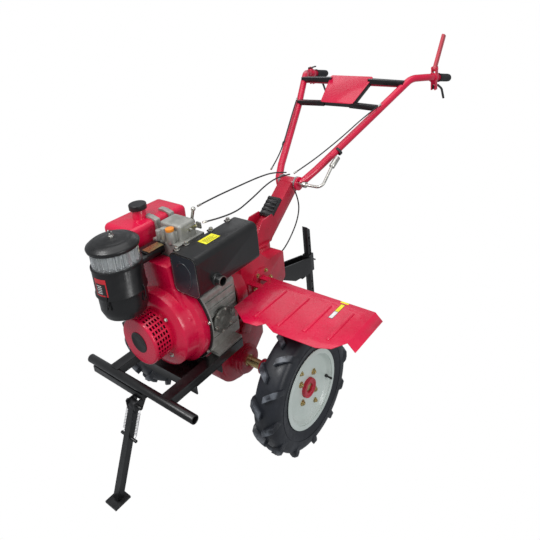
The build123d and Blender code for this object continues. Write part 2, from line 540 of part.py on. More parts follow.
for s in (-1, 1):
    cover = x_disc(s * GEARBOX_HALF_X, s * (GEARBOX_HALF_X + 8), 150, CRANK_Z - 14, 58)
    gearbox_case += cover + x_disc(s * GEARBOX_HALF_X, s * (GEARBOX_HALF_X + 16), 150, CRANK_Z - 14, 30)
SWIVEL_PIN_R = 12.0
gearbox_case += z_disc(GEARBOX_TOP_Z - 8, SEAT_Z + 24, 0, SWIVEL_AT, SWIVEL_PIN_R)

# walking case: carries the drive down to the axle; round below, with a bearing housing each side
MESH_ANGLE = 52.0
CENTRES = GEAR_MODULE * (AXLE_TEETH + PINION_TEETH) / 2
PINION_Y = CENTRES * cos(radians(MESH_ANGLE))
PINION_Z = AXLE_Z + CENTRES * sin(radians(MESH_ANGLE))
LEG_HALF_X = 70.0
JOURNAL_R = 22.0
leg_outline = [(-84, 300), (-60, 338), (40, RAIL_TOP), (176, RAIL_TOP), (168, 226), (112, 176), (64, 158),
               (0, AXLE_Z)]
walking_case = side_plate(leg_outline, -LEG_HALF_X, LEG_HALF_X)
walking_case += x_disc(-LEG_HALF_X - 8, LEG_HALF_X + 8, 0, AXLE_Z, FINAL_R)
leg_hollow = [(-66, 300), (-52, 328), (44, RAIL_TOP - 12), (164, RAIL_TOP - 12), (156, 232), (106, 188),
              (60, 172), (0, AXLE_Z)]
walking_case -= side_plate(leg_hollow, -LEG_HALF_X + 10, LEG_HALF_X - 10)
walking_case -= x_disc(-LEG_HALF_X + 2, LEG_HALF_X - 2, 0, AXLE_Z, FINAL_R - 10)
for s in (-1, 1):
    walking_case += x_disc(s * (LEG_HALF_X + 8), s * FINAL_HALF_X, 0, AXLE_Z, FINAL_R - 16)
    walking_case += x_disc(s * (LEG_HALF_X - 4), s * BEARING_X, 0, AXLE_Z, BEARING_R)
    walking_case += x_disc(s * (BEARING_X - 24), s * (BEARING_X - 12), 0, AXLE_Z, BEARING_R + 8)
    walking_case += x_disc(s * (LEG_HALF_X - 14), s * (LEG_HALF_X + 14), PINION_Y, PINION_Z, 30)
walking_case -= x_disc(-BEARING_X - 1, BEARING_X + 1, 0, AXLE_Z, JOURNAL_R + RUN)
walking_case -= x_disc(-LEG_HALF_X - 8, LEG_HALF_X + 8, PINION_Y, PINION_Z, SHAFT_R + RUN)

axle_gear = Pos(0, 0, AXLE_Z) * gear(AXLE_TEETH, GEAR_W, MESH_ANGLE)
axle_gear -= x_disc(-GEAR_W, GEAR_W, 0, AXLE_Z, JOURNAL_R)
drive_pinion = Pos(0, PINION_Y, PINION_Z) * gear(PINION_TEETH, GEAR_W,
                                                 MESH_ANGLE + 180 + 180 / PINION_TEETH)
drive_pinion += x_disc(-LEG_HALF_X - 6, LEG_HALF_X + 6, PINION_Y, PINION_Z, SHAFT_R)

# ---------------------------------------------------------------- wheels
DISC_X = WHEEL_X + DISC_INSET          # inner face of the wheel disc at the hub
DISC_T = 4.0
FLANGE_T = 7.0
HUB_END_X = DISC_X + DISC_T + 9
HEX_END_X = HUB_END_X - 5
hex_axle = hex_bar(-HEX_END_X, HEX_END_X, HEX_AF)
hex_axle += x_disc(-BEARING_X + 2, BEARING_X - 2, 0, AXLE_Z, JOURNAL_R)

hub_profile = [(HUB_INNER_X, 0), (HUB_INNER_X, HUB_R), (DISC_X - FLANGE_T, HUB_R),
               (DISC_X - FLANGE_T, HUB_FLANGE_R),
               (DISC_X, HUB_FLANGE_R), (DISC_X, HUB_RING_R), (HUB_END_X, HUB_RING_R), (HUB_END_X, 0)]
left_hub = turned(hub_profile)
left_hub += x_disc(HUB_INNER_X, HUB_INNER_X + 16, 0, AXLE_Z, HUB_R + 4)
left_hub -= hex_bar(HUB_INNER_X - 1, HUB_END_X + 1, HEX_AF)
BOLT_R = 5.0


def around_hub(make):
    """One shape at each wheel bolt's place."""
    ring = Part()
    for i in range(WHEEL_BOLT_COUNT):
        turn = radians(45 + 360 * i / WHEEL_BOLT_COUNT)
        ring += make(WHEEL_BOLT_PCD / 2 * cos(turn), AXLE_Z + WHEEL_BOLT_PCD / 2 * sin(turn))
    return ring


def bolt_hole(y, z):
    return x_disc(DISC_X - FLANGE_T - 2, DISC_X + DISC_T + 2, y, z, BOLT_R)


def wheel_bolt(y, z):
    """Bolt head on the disc's outer face, shank through it and the hub flange, nut inside."""
    shank = x_disc(DISC_X - FLANGE_T - 9, DISC_X + DISC_T + 1, y, z, BOLT_R)
    head = extrude(Plane.YZ.offset(DISC_X + DISC_T) * Pos(y, z) * RegularPolygon(8.5, 6), 7)
    nut = extrude(Plane.YZ.offset(DISC_X - FLANGE_T - 7) * Pos(y, z) * RegularPolygon(8.5, 6), 7)
    return shank + head + nut


left_hub -= around_hub(bolt_hole)
left_bolts = around_hub(wheel_bolt)
TO_RIGHT = Pos(RIGHT_WHEEL_X - WHEEL_X, 0, 0)
wheel_bolts = left_bolts + TO_RIGHT * left_bolts

# rim: drop-centre section with its dished disc, which is welded in behind the outer flange
half, seat, low = RIM_HALF_W, RIM_SEAT_R, RIM_SEAT_R - 20
inner = RIM_T
rim_outline = [(-half, RIM_FLANGE_R), (-half + inner, RIM_FLANGE_R), (-half + inner, seat), (-26, seat),
               (-16, low),
               (16, low), (26, seat), (half - inner, seat), (half - inner, RIM_FLANGE_R),
               (half, RIM_FLANGE_R),
               (half, seat - inner), (28, seat - inner), (17.5, low - inner), (-17.5, low - inner),
               (-28, seat - inner), (-half, seat - inner)]
disc_in = DISC_X - WHEEL_X
disc_out = 31.0
disc_outline = [(disc_in, HUB_RING_R), (disc_in, 98), (disc_out, seat - inner),
                (disc_out + DISC_T, seat - inner),
                (disc_in + DISC_T, 95), (disc_in + DISC_T, HUB_RING_R)]
left_rim = turned(rim_outline, WHEEL_X) + turned(disc_outline, WHEEL_X)
left_rim -= around_hub(bolt_hole)
VALVE_R = 3.5
VALVE_RAD = low - inner - 4
valve_turn = radians(-46)
valve = rod((WHEEL_X + 8, VALVE_RAD * cos(valve_turn), AXLE_Z + VALVE_RAD * sin(valve_turn)),
            (WHEEL_X + half - 6, (VALVE_RAD - 4) * cos(valve_turn),
             AXLE_Z + (VALVE_RAD - 4) * sin(valve_turn)), VALVE_R)

# tyre: a closed carcass on the rim seats, with paired slanted lugs
tread_r = TYRE_R - LUG_H
side = TYRE_W / 2
carcass = [(-half + inner, seat), (-half + inner, RIM_FLANGE_R + 2), (-side + 2, RIM_FLANGE_R + 18),
           (-side, 186),
           (-side + 5, tread_r - 14), (-side + 20, tread_r - 2), (0, tread_r), (side - 20, tread_r - 2),
           (side - 5, tread_r - 14), (side, 186), (side - 2, RIM_FLANGE_R + 18),
           (half - inner, RIM_FLANGE_R + 2),
           (half - inner, seat), (half - 14, seat), (half - 13, RIM_FLANGE_R + 8), (side - 12, 184),
           (side - 18, tread_r - 14), (-side + 18, tread_r - 14), (-side + 12, 184),
           (-half + 13, RIM_FLANGE_R + 8),
           (-half + 14, seat)]
left_tyre = turned(carcass, WHEEL_X)
lug_shell = turned([(-side, tread_r - 26), (-side, TYRE_R - 8), (-side + 8, TYRE_R - 1), (0, TYRE_R),
                    (side - 8, TYRE_R - 1), (side, TYRE_R - 8), (side, tread_r - 26)], WHEEL_X)
lug = Pos(25, 0, tread_r + 3) * Rot(0, 0, 38) * Box(66, 23, 46)
lugs = Part()
for i in range(LUG_COUNT):
    step = 360 / LUG_COUNT
    lugs += Rot(i * step, 0, 0) * lug
    lugs += Rot((i + 0.5) * step, 0, 0) * mirrored(lug)
left_tyre += (Pos(WHEEL_X, 0, AXLE_Z) * lugs) & lug_shell

left_rim += valve
right_hub, right_rim, right_tyre = TO_RIGHT * left_hub, TO_RIGHT * left_rim, TO_RIGHT * left_tyre

# ---------------------------------------------------------------- fenders
RIB_W, RIB_H = 14.0, 5.0
fender_outline = [(FENDER_X0, -68), (250, FENDER_FRONT_Y - 8), (300, FENDER_FRONT_Y - 2),
                  (318, FENDER_FRONT_Y + 22),
                  (366, FENDER_FRONT_Y), (520, FENDER_FRONT_Y + 6), (FENDER_X1 - 28, FENDER_FRONT_Y + 26),
                  (FENDER_X1, -36), (FENDER_X1, FENDER_REAR_Y), (FENDER_X0, FENDER_REAR_Y)]
left_fender = plan_plate(fender_outline, FENDER_Z - 2, FENDER_Z)
lip = [(FENDER_X1 - 3, FENDER_Z), (FENDER_X1, FENDER_Z), (FENDER_X1 + FENDER_LIP, FENDER_Z - FENDER_LIP),
       (FENDER_X1 + FENDER_LIP - 3, FENDER_Z - FENDER_LIP)]
left_fender += front_plate(lip, -36, FENDER_REAR_Y)
left_fender += box(FENDER_X0, FENDER_X1, FENDER_REAR_Y - 2, FENDER_REAR_Y, FENDER_Z - 16, FENDER_Z)
for rib_x, rib_y0 in ((263, -78), (359, -78), (448, -60), (533, -56)):
    rib = box(rib_x - RIB_W / 2, rib_x + RIB_W / 2, rib_y0, FENDER_REAR_Y - 44, FENDER_Z - 2,
              FENDER_Z + RIB_H)
    left_fender += fillet(rib.faces().sort_by(Axis.Z)[-1].edges(), 4)
# inner skirt and the two flat-bar brackets that reach the gearbox's side
left_fender += box(FENDER_X0, FENDER_X0 + 2, -68, FENDER_REAR_Y, FENDER_Z - 40, FENDER_Z)
for bar_y in (70, 122):
    left_fender += box(GEARBOX_HALF_X, FENDER_X0 + 90, bar_y, bar_y + 26, FENDER_Z - 7, FENDER_Z - 2)
    left_fender += box(GEARBOX_HALF_X, GEARBOX_HALF_X + 5, bar_y, bar_y + 26, FENDER_Z - 40, FENDER_Z - 2)
left_fender -= x_disc(GEARBOX_HALF_X - 1, GEARBOX_HALF_X + 17, 150, CRANK_Z - 14, 58)
right_fender = mirrored(left_fender)

# ---------------------------------------------------------------- hitch and drag stake
SOCKET_Y, STAKE_W, SOCKET_T = 612.0, 25.0, 5.0
SOCKET_Z0, SOCKET_Z1 = 262.0, 350.0
STAKE_TOP, STAKE_LOW = 494.0, 96.0
socket_in = STAKE_W / 2 + 0.5
socket_out = socket_in + SOCKET_T
arm_side = [(GEARBOX_REAR_Y, 440), (GEARBOX_REAR_Y + 18, 440), (GEARBOX_REAR_Y + 60, 400),
            (SOCKET_Y - socket_out, SOCKET_Z1 - 6),
            (SOCKET_Y - socket_out, SOCKET_Z0 + 6), (470, 286), (GEARBOX_REAR_Y + 18, 376), (238, 366),
            (176, 300),
            (176, 346), (GEARBOX_REAR_Y, 420)]
hitch_bracket = Part()
for s in (-1, 1):
    hitch_bracket += side_plate(arm_side, min(s * 20, s * 26), max(s * 20, s * 26))
hitch_bracket -= side_plate(gearbox_outline, -GEARBOX_HALF_X, GEARBOX_HALF_X)
hitch_bracket += box(-26, 26, SOCKET_Y - 90, SOCKET_Y - socket_out, SOCKET_Z0 + 6, SOCKET_Z0 + 16)
hitch_bracket += box(-socket_out, socket_out, SOCKET_Y - socket_out, SOCKET_Y + socket_out, SOCKET_Z0,
                     SOCKET_Z1)
hitch_bracket += box(-26, 26, SOCKET_Y - socket_out - 4, SOCKET_Y - socket_out + 1, SOCKET_Z0 + 6,
                     SOCKET_Z1 - 6)
hitch_bracket -= box(-socket_in, socket_in, SOCKET_Y - socket_in, SOCKET_Y + socket_in, SOCKET_Z0 - 1,
                     SOCKET_Z1 + 1)
# clamping screw in the socket's rear wall
hitch_bracket += y_disc(SOCKET_Y + socket_in - 0.2, SOCKET_Y + socket_out + 16, 0,
                        (SOCKET_Z0 + SOCKET_Z1) / 2, 6)
hitch_bracket += x_disc(-16, 16, SOCKET_Y + socket_out + 16, (SOCKET_Z0 + SOCKET_Z1) / 2, 3.5)

drag_stake = side_plate([(SOCKET_Y - STAKE_W / 2, STAKE_LOW + 34), (SOCKET_Y + STAKE_W / 2, STAKE_LOW),
                         (SOCKET_Y + STAKE_W / 2, STAKE_TOP - 22), (SOCKET_Y - STAKE_W / 2, STAKE_TOP)],
                        -STAKE_W / 2, STAKE_W / 2)
for hole_z in (STAKE_LOW + 70, STAKE_LOW + 110, STAKE_TOP - 60, STAKE_TOP - 100):
    drag_stake -= x_disc(-STAKE_W, STAKE_W, SOCKET_Y, hole_z, 5)

# ---------------------------------------------------------------- steering column
column_foot = Vector(0, SWIVEL_AT + 22, SEAT_Z + 12)
COLUMN_DIR = (Vector(0, PIVOT_Y, PIVOT_Z) - column_foot).normalized()
column_head = Vector(0, PIVOT_Y, PIVOT_Z) - COLUMN_DIR * 18
across_column = Vector(0, COLUMN_DIR.Z, -COLUMN_DIR.Y)
steering_column = bar(column_foot, column_head, COLUMN_W, COLUMN_D, across_column)
steering_column -= bar(column_foot + COLUMN_DIR * 30, column_head - COLUMN_DIR * 12, COLUMN_W - 2 * WALL,
                       COLUMN_D - 2 * WALL,
                       across_column)
COLUMN_SEAT = SEAT_Z + SLIP
steering_column -= box(-100, 100, 0, 600, 0, COLUMN_SEAT)
steering_column += z_disc(COLUMN_SEAT, COLUMN_SEAT + 12, 0, SWIVEL_AT, SWIVEL_R)
cheek = [(SWIVEL_AT - 46, COLUMN_SEAT), (SWIVEL_AT + 50, COLUMN_SEAT), (SWIVEL_AT + 96, COLUMN_SEAT + 60),
         (SWIVEL_AT + 70, COLUMN_SEAT + 110), (SWIVEL_AT + 8, COLUMN_SEAT + 110),
         (SWIVEL_AT - 30, COLUMN_SEAT + 66)]
for s in (-1, 1):
    steering_column += side_plate(cheek, min(s * 31, s * 36), max(s * 31, s * 36))
HEAD_HALF = 34.0
HEAD_R = 24.0
HEAD_T = 5.0
CLAMP_R = 7.0
steering_column += x_disc(-HEAD_HALF, HEAD_HALF, PIVOT_Y, PIVOT_Z, HEAD_R)
steering_column -= x_disc(-HEAD_HALF + HEAD_T, HEAD_HALF - HEAD_T, PIVOT_Y, PIVOT_Z, HEAD_R - HEAD_T)
steering_column -= x_disc(-100, 100, PIVOT_Y, PIVOT_Z, CLAMP_R + RUN)
steering_column -= z_disc(SEAT_Z - 1, SEAT_Z + 40, 0, SWIVEL_AT, SWIVEL_PIN_R + RUN)

# toothed height-adjustment discs, fixed on the head's two ends
RATCHET_R, RATCHET_T, TEETH_ROUND = 29.0, 9.0, 36
ratchet = Part()
for s in (-1, 1):
    face_x = s * HEAD_HALF
    wheel_disc = x_disc(face_x, face_x + s * RATCHET_T, PIVOT_Y, PIVOT_Z, RATCHET_R)
    for i in range(TEETH_ROUND):
        turn = 2 * pi * i / TEETH_ROUND
        notch_y, notch_z = PIVOT_Y + RATCHET_R * cos(turn), PIVOT_Z + RATCHET_R * sin(turn)
        wheel_disc -= x_disc(face_x + s * RATCHET_T / 2, face_x + s * (RATCHET_T + 1), notch_y, notch_z,
                             1.3)
    ratchet += wheel_disc
pivot_ratchets = ratchet - x_disc(-100, 100, PIVOT_Y, PIVOT_Z, CLAMP_R + RUN)

# black ribbed gear-gate block on the column's front face
gate_mid = column_foot + (column_head - column_foot) * 0.5 - across_column * (COLUMN_D / 2)
gate_plane = Plane(origin=gate_mid, x_dir=(1, 0, 0), z_dir=-across_column)
shift_guide = gate_plane * Box(60, 92, 16, align=(Align.CENTER, Align.CENTER, Align.MIN))
for i in range(5):
    shift_guide += gate_plane * Pos(0, -36 + i * 18, 16) * Box(56, 7, 5,
                                                               align=(Align.CENTER, Align.CENTER,
                                                                      Align.MIN))

# ---------------------------------------------------------------- handlebars
DISC_GAP = HEAD_HALF + RATCHET_T + SLIP
BAR_DISC_T = 8.0
bar_points = [(DISC_GAP + 14, PIVOT_Y - 2, PIVOT_Z + 2), (92, 590, 786), (212, 920, 968), (290, 1108, 1082),
              (338, 1190, 1074), (352, 1400, 1032)]
BAR_RADII = [60, 420, 90, 90]
left_handlebar = tube(bar_points, BAR_RADII, BAR_R, TUBE_WALL)
left_handlebar += rod(bar_points[0], Vector(*bar_points[0]) * 0.7 + Vector(*bar_points[1]) * 0.3, BAR_R)
left_handlebar += x_disc(DISC_GAP, DISC_GAP + BAR_DISC_T, PIVOT_Y, PIVOT_Z, RATCHET_R)
left_handlebar -= x_disc(0, 200, PIVOT_Y, PIVOT_Z, CLAMP_R + RUN)
left_handlebar -= x_disc(DISC_GAP + BAR_DISC_T, 200, PIVOT_Y, PIVOT_Z, 15)
left_handlebar -= x_disc(0, DISC_GAP, PIVOT_Y, PIVOT_Z, 60)
right_handlebar = mirrored(left_handlebar)

grip_end = Vector(*bar_points[5])
grip_dir = (grip_end - Vector(*bar_points[4])).normalized()
grip_start = grip_end - grip_dir * GRIP_LEN
grip = rod(grip_start, grip_end + grip_dir * 4, GRIP_R)
grip = fillet(grip.edges().sort_by(Axis.Y)[-1], 8)
grip -= rod(grip_start - grip_dir * 5, grip_end, BAR_R)
handlebar_grips = grip + mirrored(grip)

CROSS_Y, CROSS_Z = 1076.0, 1062.0
cross_reach = 270.0
CROSS_R = 10.0
cross_tube = x_disc(-cross_reach, cross_reach, CROSS_Y, CROSS_Z - 6, CROSS_R)
cross_tube -= x_disc(-cross_reach, cross_reach, CROSS_Y, CROSS_Z - 6, CROSS_R - TUBE_WALL)
for s in (-1, 1):
    run = [(s * x, y, z) for x, y, z in bar_points]
    cross_tube -= tube(run, BAR_RADII, BAR_R)

# black console frame: two arms to each handlebar and a tray under the red panel
PANEL_FRONT, PANEL_REAR = (0, 925.0, 992.0), (0, 1082.0, 1088.0)
panel_dir = (Vector(*PANEL_REAR) - Vector(*PANEL_FRONT)).normalized()
panel_len = (Vector(*PANEL_REAR) - Vector(*PANEL_FRONT)).length
panel_plane = Plane(origin=PANEL_FRONT, x_dir=(1, 0, 0), z_dir=Vector(1, 0, 0).cross(panel_dir))
PANEL_FRONT_HALF, PANEL_REAR_HALF, PANEL_T = 86.0, 116.0, 2.5
ARM_W, ARM_D = 30.0, 22.0
panel_shape = Polygon((-PANEL_FRONT_HALF, 0), (PANEL_FRONT_HALF, 0), (PANEL_REAR_HALF, panel_len),
                      (-PANEL_REAR_HALF, panel_len), align=None)
console_panel = panel_plane * extrude(fillet(panel_shape.vertices(), 10), PANEL_T)
console_frame = panel_plane * Pos(0, 0, -22) * extrude(fillet(panel_shape.vertices(), 14), 22)
console_frame -= panel_plane * Pos(0, 0, -23) * extrude(
    Polygon((-PANEL_FRONT_HALF + WALL, WALL), (PANEL_FRONT_HALF - WALL, WALL),
            (PANEL_REAR_HALF - WALL, panel_len - WALL),
            (-PANEL_REAR_HALF + WALL, panel_len - WALL), align=None), 21)
for s in (-1, 1):
    run = [(s * x, y, z) for x, y, z in bar_points]
    arms = Part()
    for inner, outer in (((s * 70, 940, 984), (s * 214, 925, 983)),
                         ((s * 100, 1066, 1072), (s * 276, 1064, 1068))):
        arms += bar(inner, outer, ARM_W, ARM_D) - bar(inner, outer, ARM_W - 2 * TUBE_WALL,
                                                      ARM_D - 2 * TUBE_WALL)
    console_frame += arms - tube(run, BAR_RADII, BAR_R)
console_frame -= x_disc(-cross_reach, cross_reach, CROSS_Y, CROSS_Z - 6, CROSS_R) + console_panel


def on_bar(share):
    """A point on the straight run of the left tube that carries the controls."""
    first, last = Vector(*bar_points[4]), Vector(*bar_points[5])
    return first + (last - first) * share


# main clutch lever: a long pressed-steel lever standing over the left grip
LEVER_PIN_R = 5.0
lever_foot = on_bar(0.3) + Vector(0, 0, BAR_R + 24)
lever_base = bar(on_bar(0.22) + Vector(0, 0, BAR_R - 2), on_bar(0.38) + Vector(0, 0, BAR_R - 2), 26, 10)
LUG_T, LUG_GAP = 4.0, 16.0
for s in (-1, 1):
    x0 = lever_foot.X + s * (LUG_GAP / 2)
    lever_base += box(min(x0, x0 + s * LUG_T), max(x0, x0 + s * LUG_T), lever_foot.Y - 13,
                      lever_foot.Y + 13,
                      lever_foot.Z - 28, lever_foot.Z + 10)
lever_base += x_disc(lever_foot.X - LUG_GAP / 2 - 8, lever_foot.X + LUG_GAP / 2 + 8, lever_foot.Y,
                     lever_foot.Z, LEVER_PIN_R)
LEVER_TIP = Vector(lever_foot.X + 14, lever_foot.Y + 72, lever_foot.Z + 146)
clutch_lever = bar(lever_foot, LEVER_TIP, 12, 24, (0, 1, -0.3))
clutch_lever += x_disc(lever_foot.X - LUG_GAP / 2 + SLIP, lever_foot.X + LUG_GAP / 2 - SLIP, lever_foot.Y,
                       lever_foot.Z, 12)
clutch_lever -= x_disc(lever_foot.X - 30, lever_foot.X + 30, lever_foot.Y, lever_foot.Z, LEVER_PIN_R + RUN)


# steering-clutch levers: curved black levers on a perch under each tube
def hand_lever(side):
    """Perch clamped under the tube and the lever it carries."""
    at = on_bar(0.26)
    at = Vector(side * at.X, at.Y, at.Z)
    pin = at + Vector(0, 6, -BAR_R - 32)
    perch = rod(at + Vector(0, -14, 0), at + Vector(0, 12, -2), BAR_R + 5)
    perch += box(pin.X - 11, pin.X + 11, pin.Y - 14, pin.Y + 12, pin.Z - 11, at.Z - BAR_R + 2)
    perch -= box(pin.X - 6, pin.X + 6, pin.Y - 40, pin.Y + 30, pin.Z - 40, pin.Z + 15)
    perch += x_disc(pin.X - 14, pin.X + 14, pin.Y, pin.Z, 4)
    blade = [pin, pin + Vector(0, 44, 3), pin + Vector(0, 96, -26), pin + Vector(0, 122, -78)]
    lever = tube([tuple(p) for p in blade], [40, 40], 5.4)
    lever += x_disc(pin.X - 6 + SLIP, pin.X + 6 - SLIP, pin.Y, pin.Z, 9)
    lever -= x_disc(pin.X - 30, pin.X + 30, pin.Y, pin.Z, 4 + RUN)
    return perch, lever, pin


left_perch, left_hand_lever, left_lever_pin = hand_lever(1)
right_perch, right_hand_lever, right_lever_pin = hand_lever(-1)
tube_left, tube_right = tube(bar_points, BAR_RADII, BAR_R), tube([(-x, y, z) for x, y, z in bar_points],
                                                                 BAR_RADII, BAR_R)
left_handlebar += (left_perch + lever_base) - tube_left

# throttle thumb lever on top of the right tube
throttle_foot = on_bar(0.2)
throttle_foot = Vector(-throttle_foot.X, throttle_foot.Y, throttle_foot.Z + BAR_R + 8)
right_handlebar += (right_perch + z_disc(throttle_foot.Z - 16, throttle_foot.Z, throttle_foot.X,
                                         throttle_foot.Y, 14)) - tube_right
right_handlebar += z_disc(throttle_foot.Z - 2, throttle_foot.Z + 10, throttle_foot.X, throttle_foot.Y, 4)
throttle_lever = z_disc(throttle_foot.Z + SLIP, throttle_foot.Z + 7, throttle_foot.X, throttle_foot.Y, 12)
throttle_lever += box(throttle_foot.X - 5, throttle_foot.X + 5, throttle_foot.Y, throttle_foot.Y + 52,
                      throttle_foot.Z + SLIP, throttle_foot.Z + 6)
throttle_lever -= z_disc(throttle_foot.Z - 5, throttle_foot.Z + 20, throttle_foot.X, throttle_foot.Y,
                         4 + RUN)

# clamp bolt through the pivot with its long cranked handle on the left
HANDLE_X = 162.0
handle_path = [(DISC_GAP + 26, PIVOT_Y, PIVOT_Z), (HANDLE_X, PIVOT_Y, PIVOT_Z),
               (HANDLE_X, PIVOT_Y + 84, PIVOT_Z + 64),
               (HANDLE_X + 4, PIVOT_Y + 128, PIVOT_Z + 92)]
lock_handle = x_disc(-DISC_GAP - BAR_DISC_T - 16, DISC_GAP + 30, PIVOT_Y, PIVOT_Z, CLAMP_R)
lock_handle += x_disc(DISC_GAP + BAR_DISC_T + SLIP, DISC_GAP + 42, PIVOT_Y, PIVOT_Z, 13)
lock_handle += x_disc(-DISC_GAP - BAR_DISC_T - 14, -DISC_GAP - BAR_DISC_T - SLIP, PIVOT_Y, PIVOT_Z, 13)
lock_handle += tube(handle_path[:3], [28], 6)
lock_handle += rod(handle_path[2], handle_path[3], 12)

# ---------------------------------------------------------------- control cables
throttle_route = [(ARM_X + 24, ARM_Y + 40, ARM_Z + 12), (112, 30, 812), (104, 150, 826), (80, 270, 836),
                  (62, 370, 828),
                  (50, 458, 806)]
deco_route = [(DECO_X + 18, DECO_Y + 30, DECO_Z + 52), (36, 30, 866), (50, 150, 868), (50, 270, 862),
              (42, 372, 844),
              (34, 456, 812)]
engine_cables = cord(throttle_route, CABLE_R) + cord(deco_route, CABLE_R)
gearbox_route = [(60, 470, 730), (58, 500, 668), (52, 486, 590), (44, 430, 520), (36, 372, 478),
                 (30, 326, 470)]
gearbox_cable = cord(gearbox_route, CABLE_R)
left_route = [(60, 476, 806), (84, 560, 828), (116, 650, 864), (152, 740, 908), (190, 840, 962),
              (226, 930, 1000)]
right_route = [(-x, y, z) for x, y, z in left_route]
handlebar_cables = cord(left_route, CABLE_R) + cord(right_route, CABLE_R)

# ---------------------------------------------------------------- export
NODES = dict(
    left_rail=rail(1), right_rail=rail(-1), front_bumper=front_bumper, stand_crossbar=stand_crossbar,
    engine_bed=engine_bed, front_stand=front_stand, stand_springs=stand_springs, crankcase=crankcase,
    cylinder=cylinder, rocker_cover=rocker_cover, oil_cap=oil_cap, blower_housing=blower_housing,
    recoil_drum=recoil_drum, recoil_handle=recoil_handle, crankshaft=crankshaft, flywheel=flywheel,
             muffler=muffler,
    air_cleaner_body=air_cleaner_body, precleaner_bowl=precleaner_bowl, air_cleaner_lid=air_cleaner_lid,
    intake_elbow=intake_elbow, fuel_tank=fuel_tank, fuel_cap=fuel_cap, tank_straps=tank_straps,
    decompression_lever=decompression_lever, throttle_arm=throttle_arm, clutch_housing=clutch_housing,
    gearbox_case=gearbox_case, walking_case=walking_case, axle_gear=axle_gear, drive_pinion=drive_pinion,
    hex_axle=hex_axle, left_hub=left_hub, right_hub=right_hub, left_rim=left_rim, right_rim=right_rim,
    left_tyre=left_tyre, right_tyre=right_tyre, wheel_bolts=wheel_bolts, left_fender=left_fender,
    right_fender=right_fender, hitch_bracket=hitch_bracket, drag_stake=drag_stake,
             steering_column=steering_column,
    pivot_ratchets=pivot_ratchets, shift_guide=shift_guide, left_handlebar=left_handlebar,
    right_handlebar=right_handlebar, cross_tube=cross_tube, console_frame=console_frame,
             console_panel=console_panel,
    handlebar_grips=handlebar_grips, clutch_lever=clutch_lever, left_hand_lever=left_hand_lever,
    right_hand_lever=right_hand_lever, throttle_lever=throttle_lever, lock_handle=lock_handle,
    engine_cables=engine_cables, gearbox_cable=gearbox_cable, handlebar_cables=handlebar_cables,
)

whole = Compound(children=[Compound(shape.solids()) for shape in NODES.values()]).bounding_box()
ORIGIN = Vector((whole.min.X + whole.max.X) / 2, (whole.min.Y + whole.max.Y) / 2, whole.min.Z)

os.makedirs("parts", exist_ok=True)
for name, shape in NODES.items():
    export_step(Pos(*(-ORIGIN)) * Compound(shape.solids()), f"parts/{name}.step")
print("origin in axle coordinates", ORIGIN, "size", whole.size)
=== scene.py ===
# %% [markdown]
# # A walk-behind tiller
# The engineering model already says where every part is and how it moves. This lesson loads that
# model as a fixed frame and gives it its looks: paint, castings, rubber, cables, bolts and the many
# small pieces that a plain solid leaves out. Nothing from the frame is moved. A piece is either
# given a finish, or hidden and replaced by a finer one that rides on the same body.

import math

import bmesh
import bpy
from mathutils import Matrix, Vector


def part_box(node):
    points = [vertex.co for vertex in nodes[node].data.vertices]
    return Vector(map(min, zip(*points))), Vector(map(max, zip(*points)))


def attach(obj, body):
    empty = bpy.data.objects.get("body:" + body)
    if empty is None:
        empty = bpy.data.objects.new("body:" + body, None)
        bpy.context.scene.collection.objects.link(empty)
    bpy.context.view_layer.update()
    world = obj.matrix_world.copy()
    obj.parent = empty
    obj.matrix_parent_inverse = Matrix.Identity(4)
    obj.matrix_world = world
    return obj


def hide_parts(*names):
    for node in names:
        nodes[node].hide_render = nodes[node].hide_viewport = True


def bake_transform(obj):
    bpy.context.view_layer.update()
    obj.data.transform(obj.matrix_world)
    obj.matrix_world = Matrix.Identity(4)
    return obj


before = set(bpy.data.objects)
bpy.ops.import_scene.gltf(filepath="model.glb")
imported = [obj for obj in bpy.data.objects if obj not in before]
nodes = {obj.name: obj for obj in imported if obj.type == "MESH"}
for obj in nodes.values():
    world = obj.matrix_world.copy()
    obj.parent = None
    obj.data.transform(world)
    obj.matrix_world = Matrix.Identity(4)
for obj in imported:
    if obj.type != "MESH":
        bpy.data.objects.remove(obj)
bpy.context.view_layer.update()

# %% [markdown]
# Sizes are easiest to read in millimetres with the wheel axle at Y = 0, as the machine was drawn.
# The hexagon axle gives the shift between that and the frame. Faces are made as a "shell", a list
# of points and a list of faces, so that several can be merged into one piece before Blender sees it.

# %% Millimetres on the axle
axle_low, axle_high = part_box("hex_axle")
AXLE_SHIFT = Vector((0, (axle_low.y + axle_high.y) / 2, 0))
AXLE_Z = (axle_low.z + axle_high.z) / 2 * 1000
print("axle height", round(AXLE_Z, 1), "mm")


def span(node):
    """A node's lowest and highest corner in millimetres, with the axle at Y = 0."""
    low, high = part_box(node)
    return (low - AXLE_SHIFT) * 1000, (high - AXLE_SHIFT) * 1000


# %% Shells: lathe, slab, box, hose
def lathe(profile, origin, along, steps=56, closed=False, first_turn=0.0):
    """Turns (along, radius) pairs about an axis. A closed profile makes a ring, an open one is capped."""
    origin, along = Vector(origin), Vector(along).normalized()
    side = along.orthogonal().normalized()
    up = along.cross(side)
    points, faces = [], []
    for a, r in profile:
        for i in range(steps):
            turn = first_turn + 2 * math.pi * i / steps
            points.append(origin + along * a + (side * math.cos(turn) + up * math.sin(turn)) * r)
    rings = len(profile)
    for k in range(rings if closed else rings - 1):
        here, after = k * steps, (k + 1) % rings * steps
        for i in range(steps):
            j = (i + 1) % steps
            faces.append((here + i, here + j, after + j, after + i))
    if not closed:
        faces.append(tuple(range(steps)))
        faces.append(tuple(range((rings - 1) * steps, rings * steps)))
    return points, faces


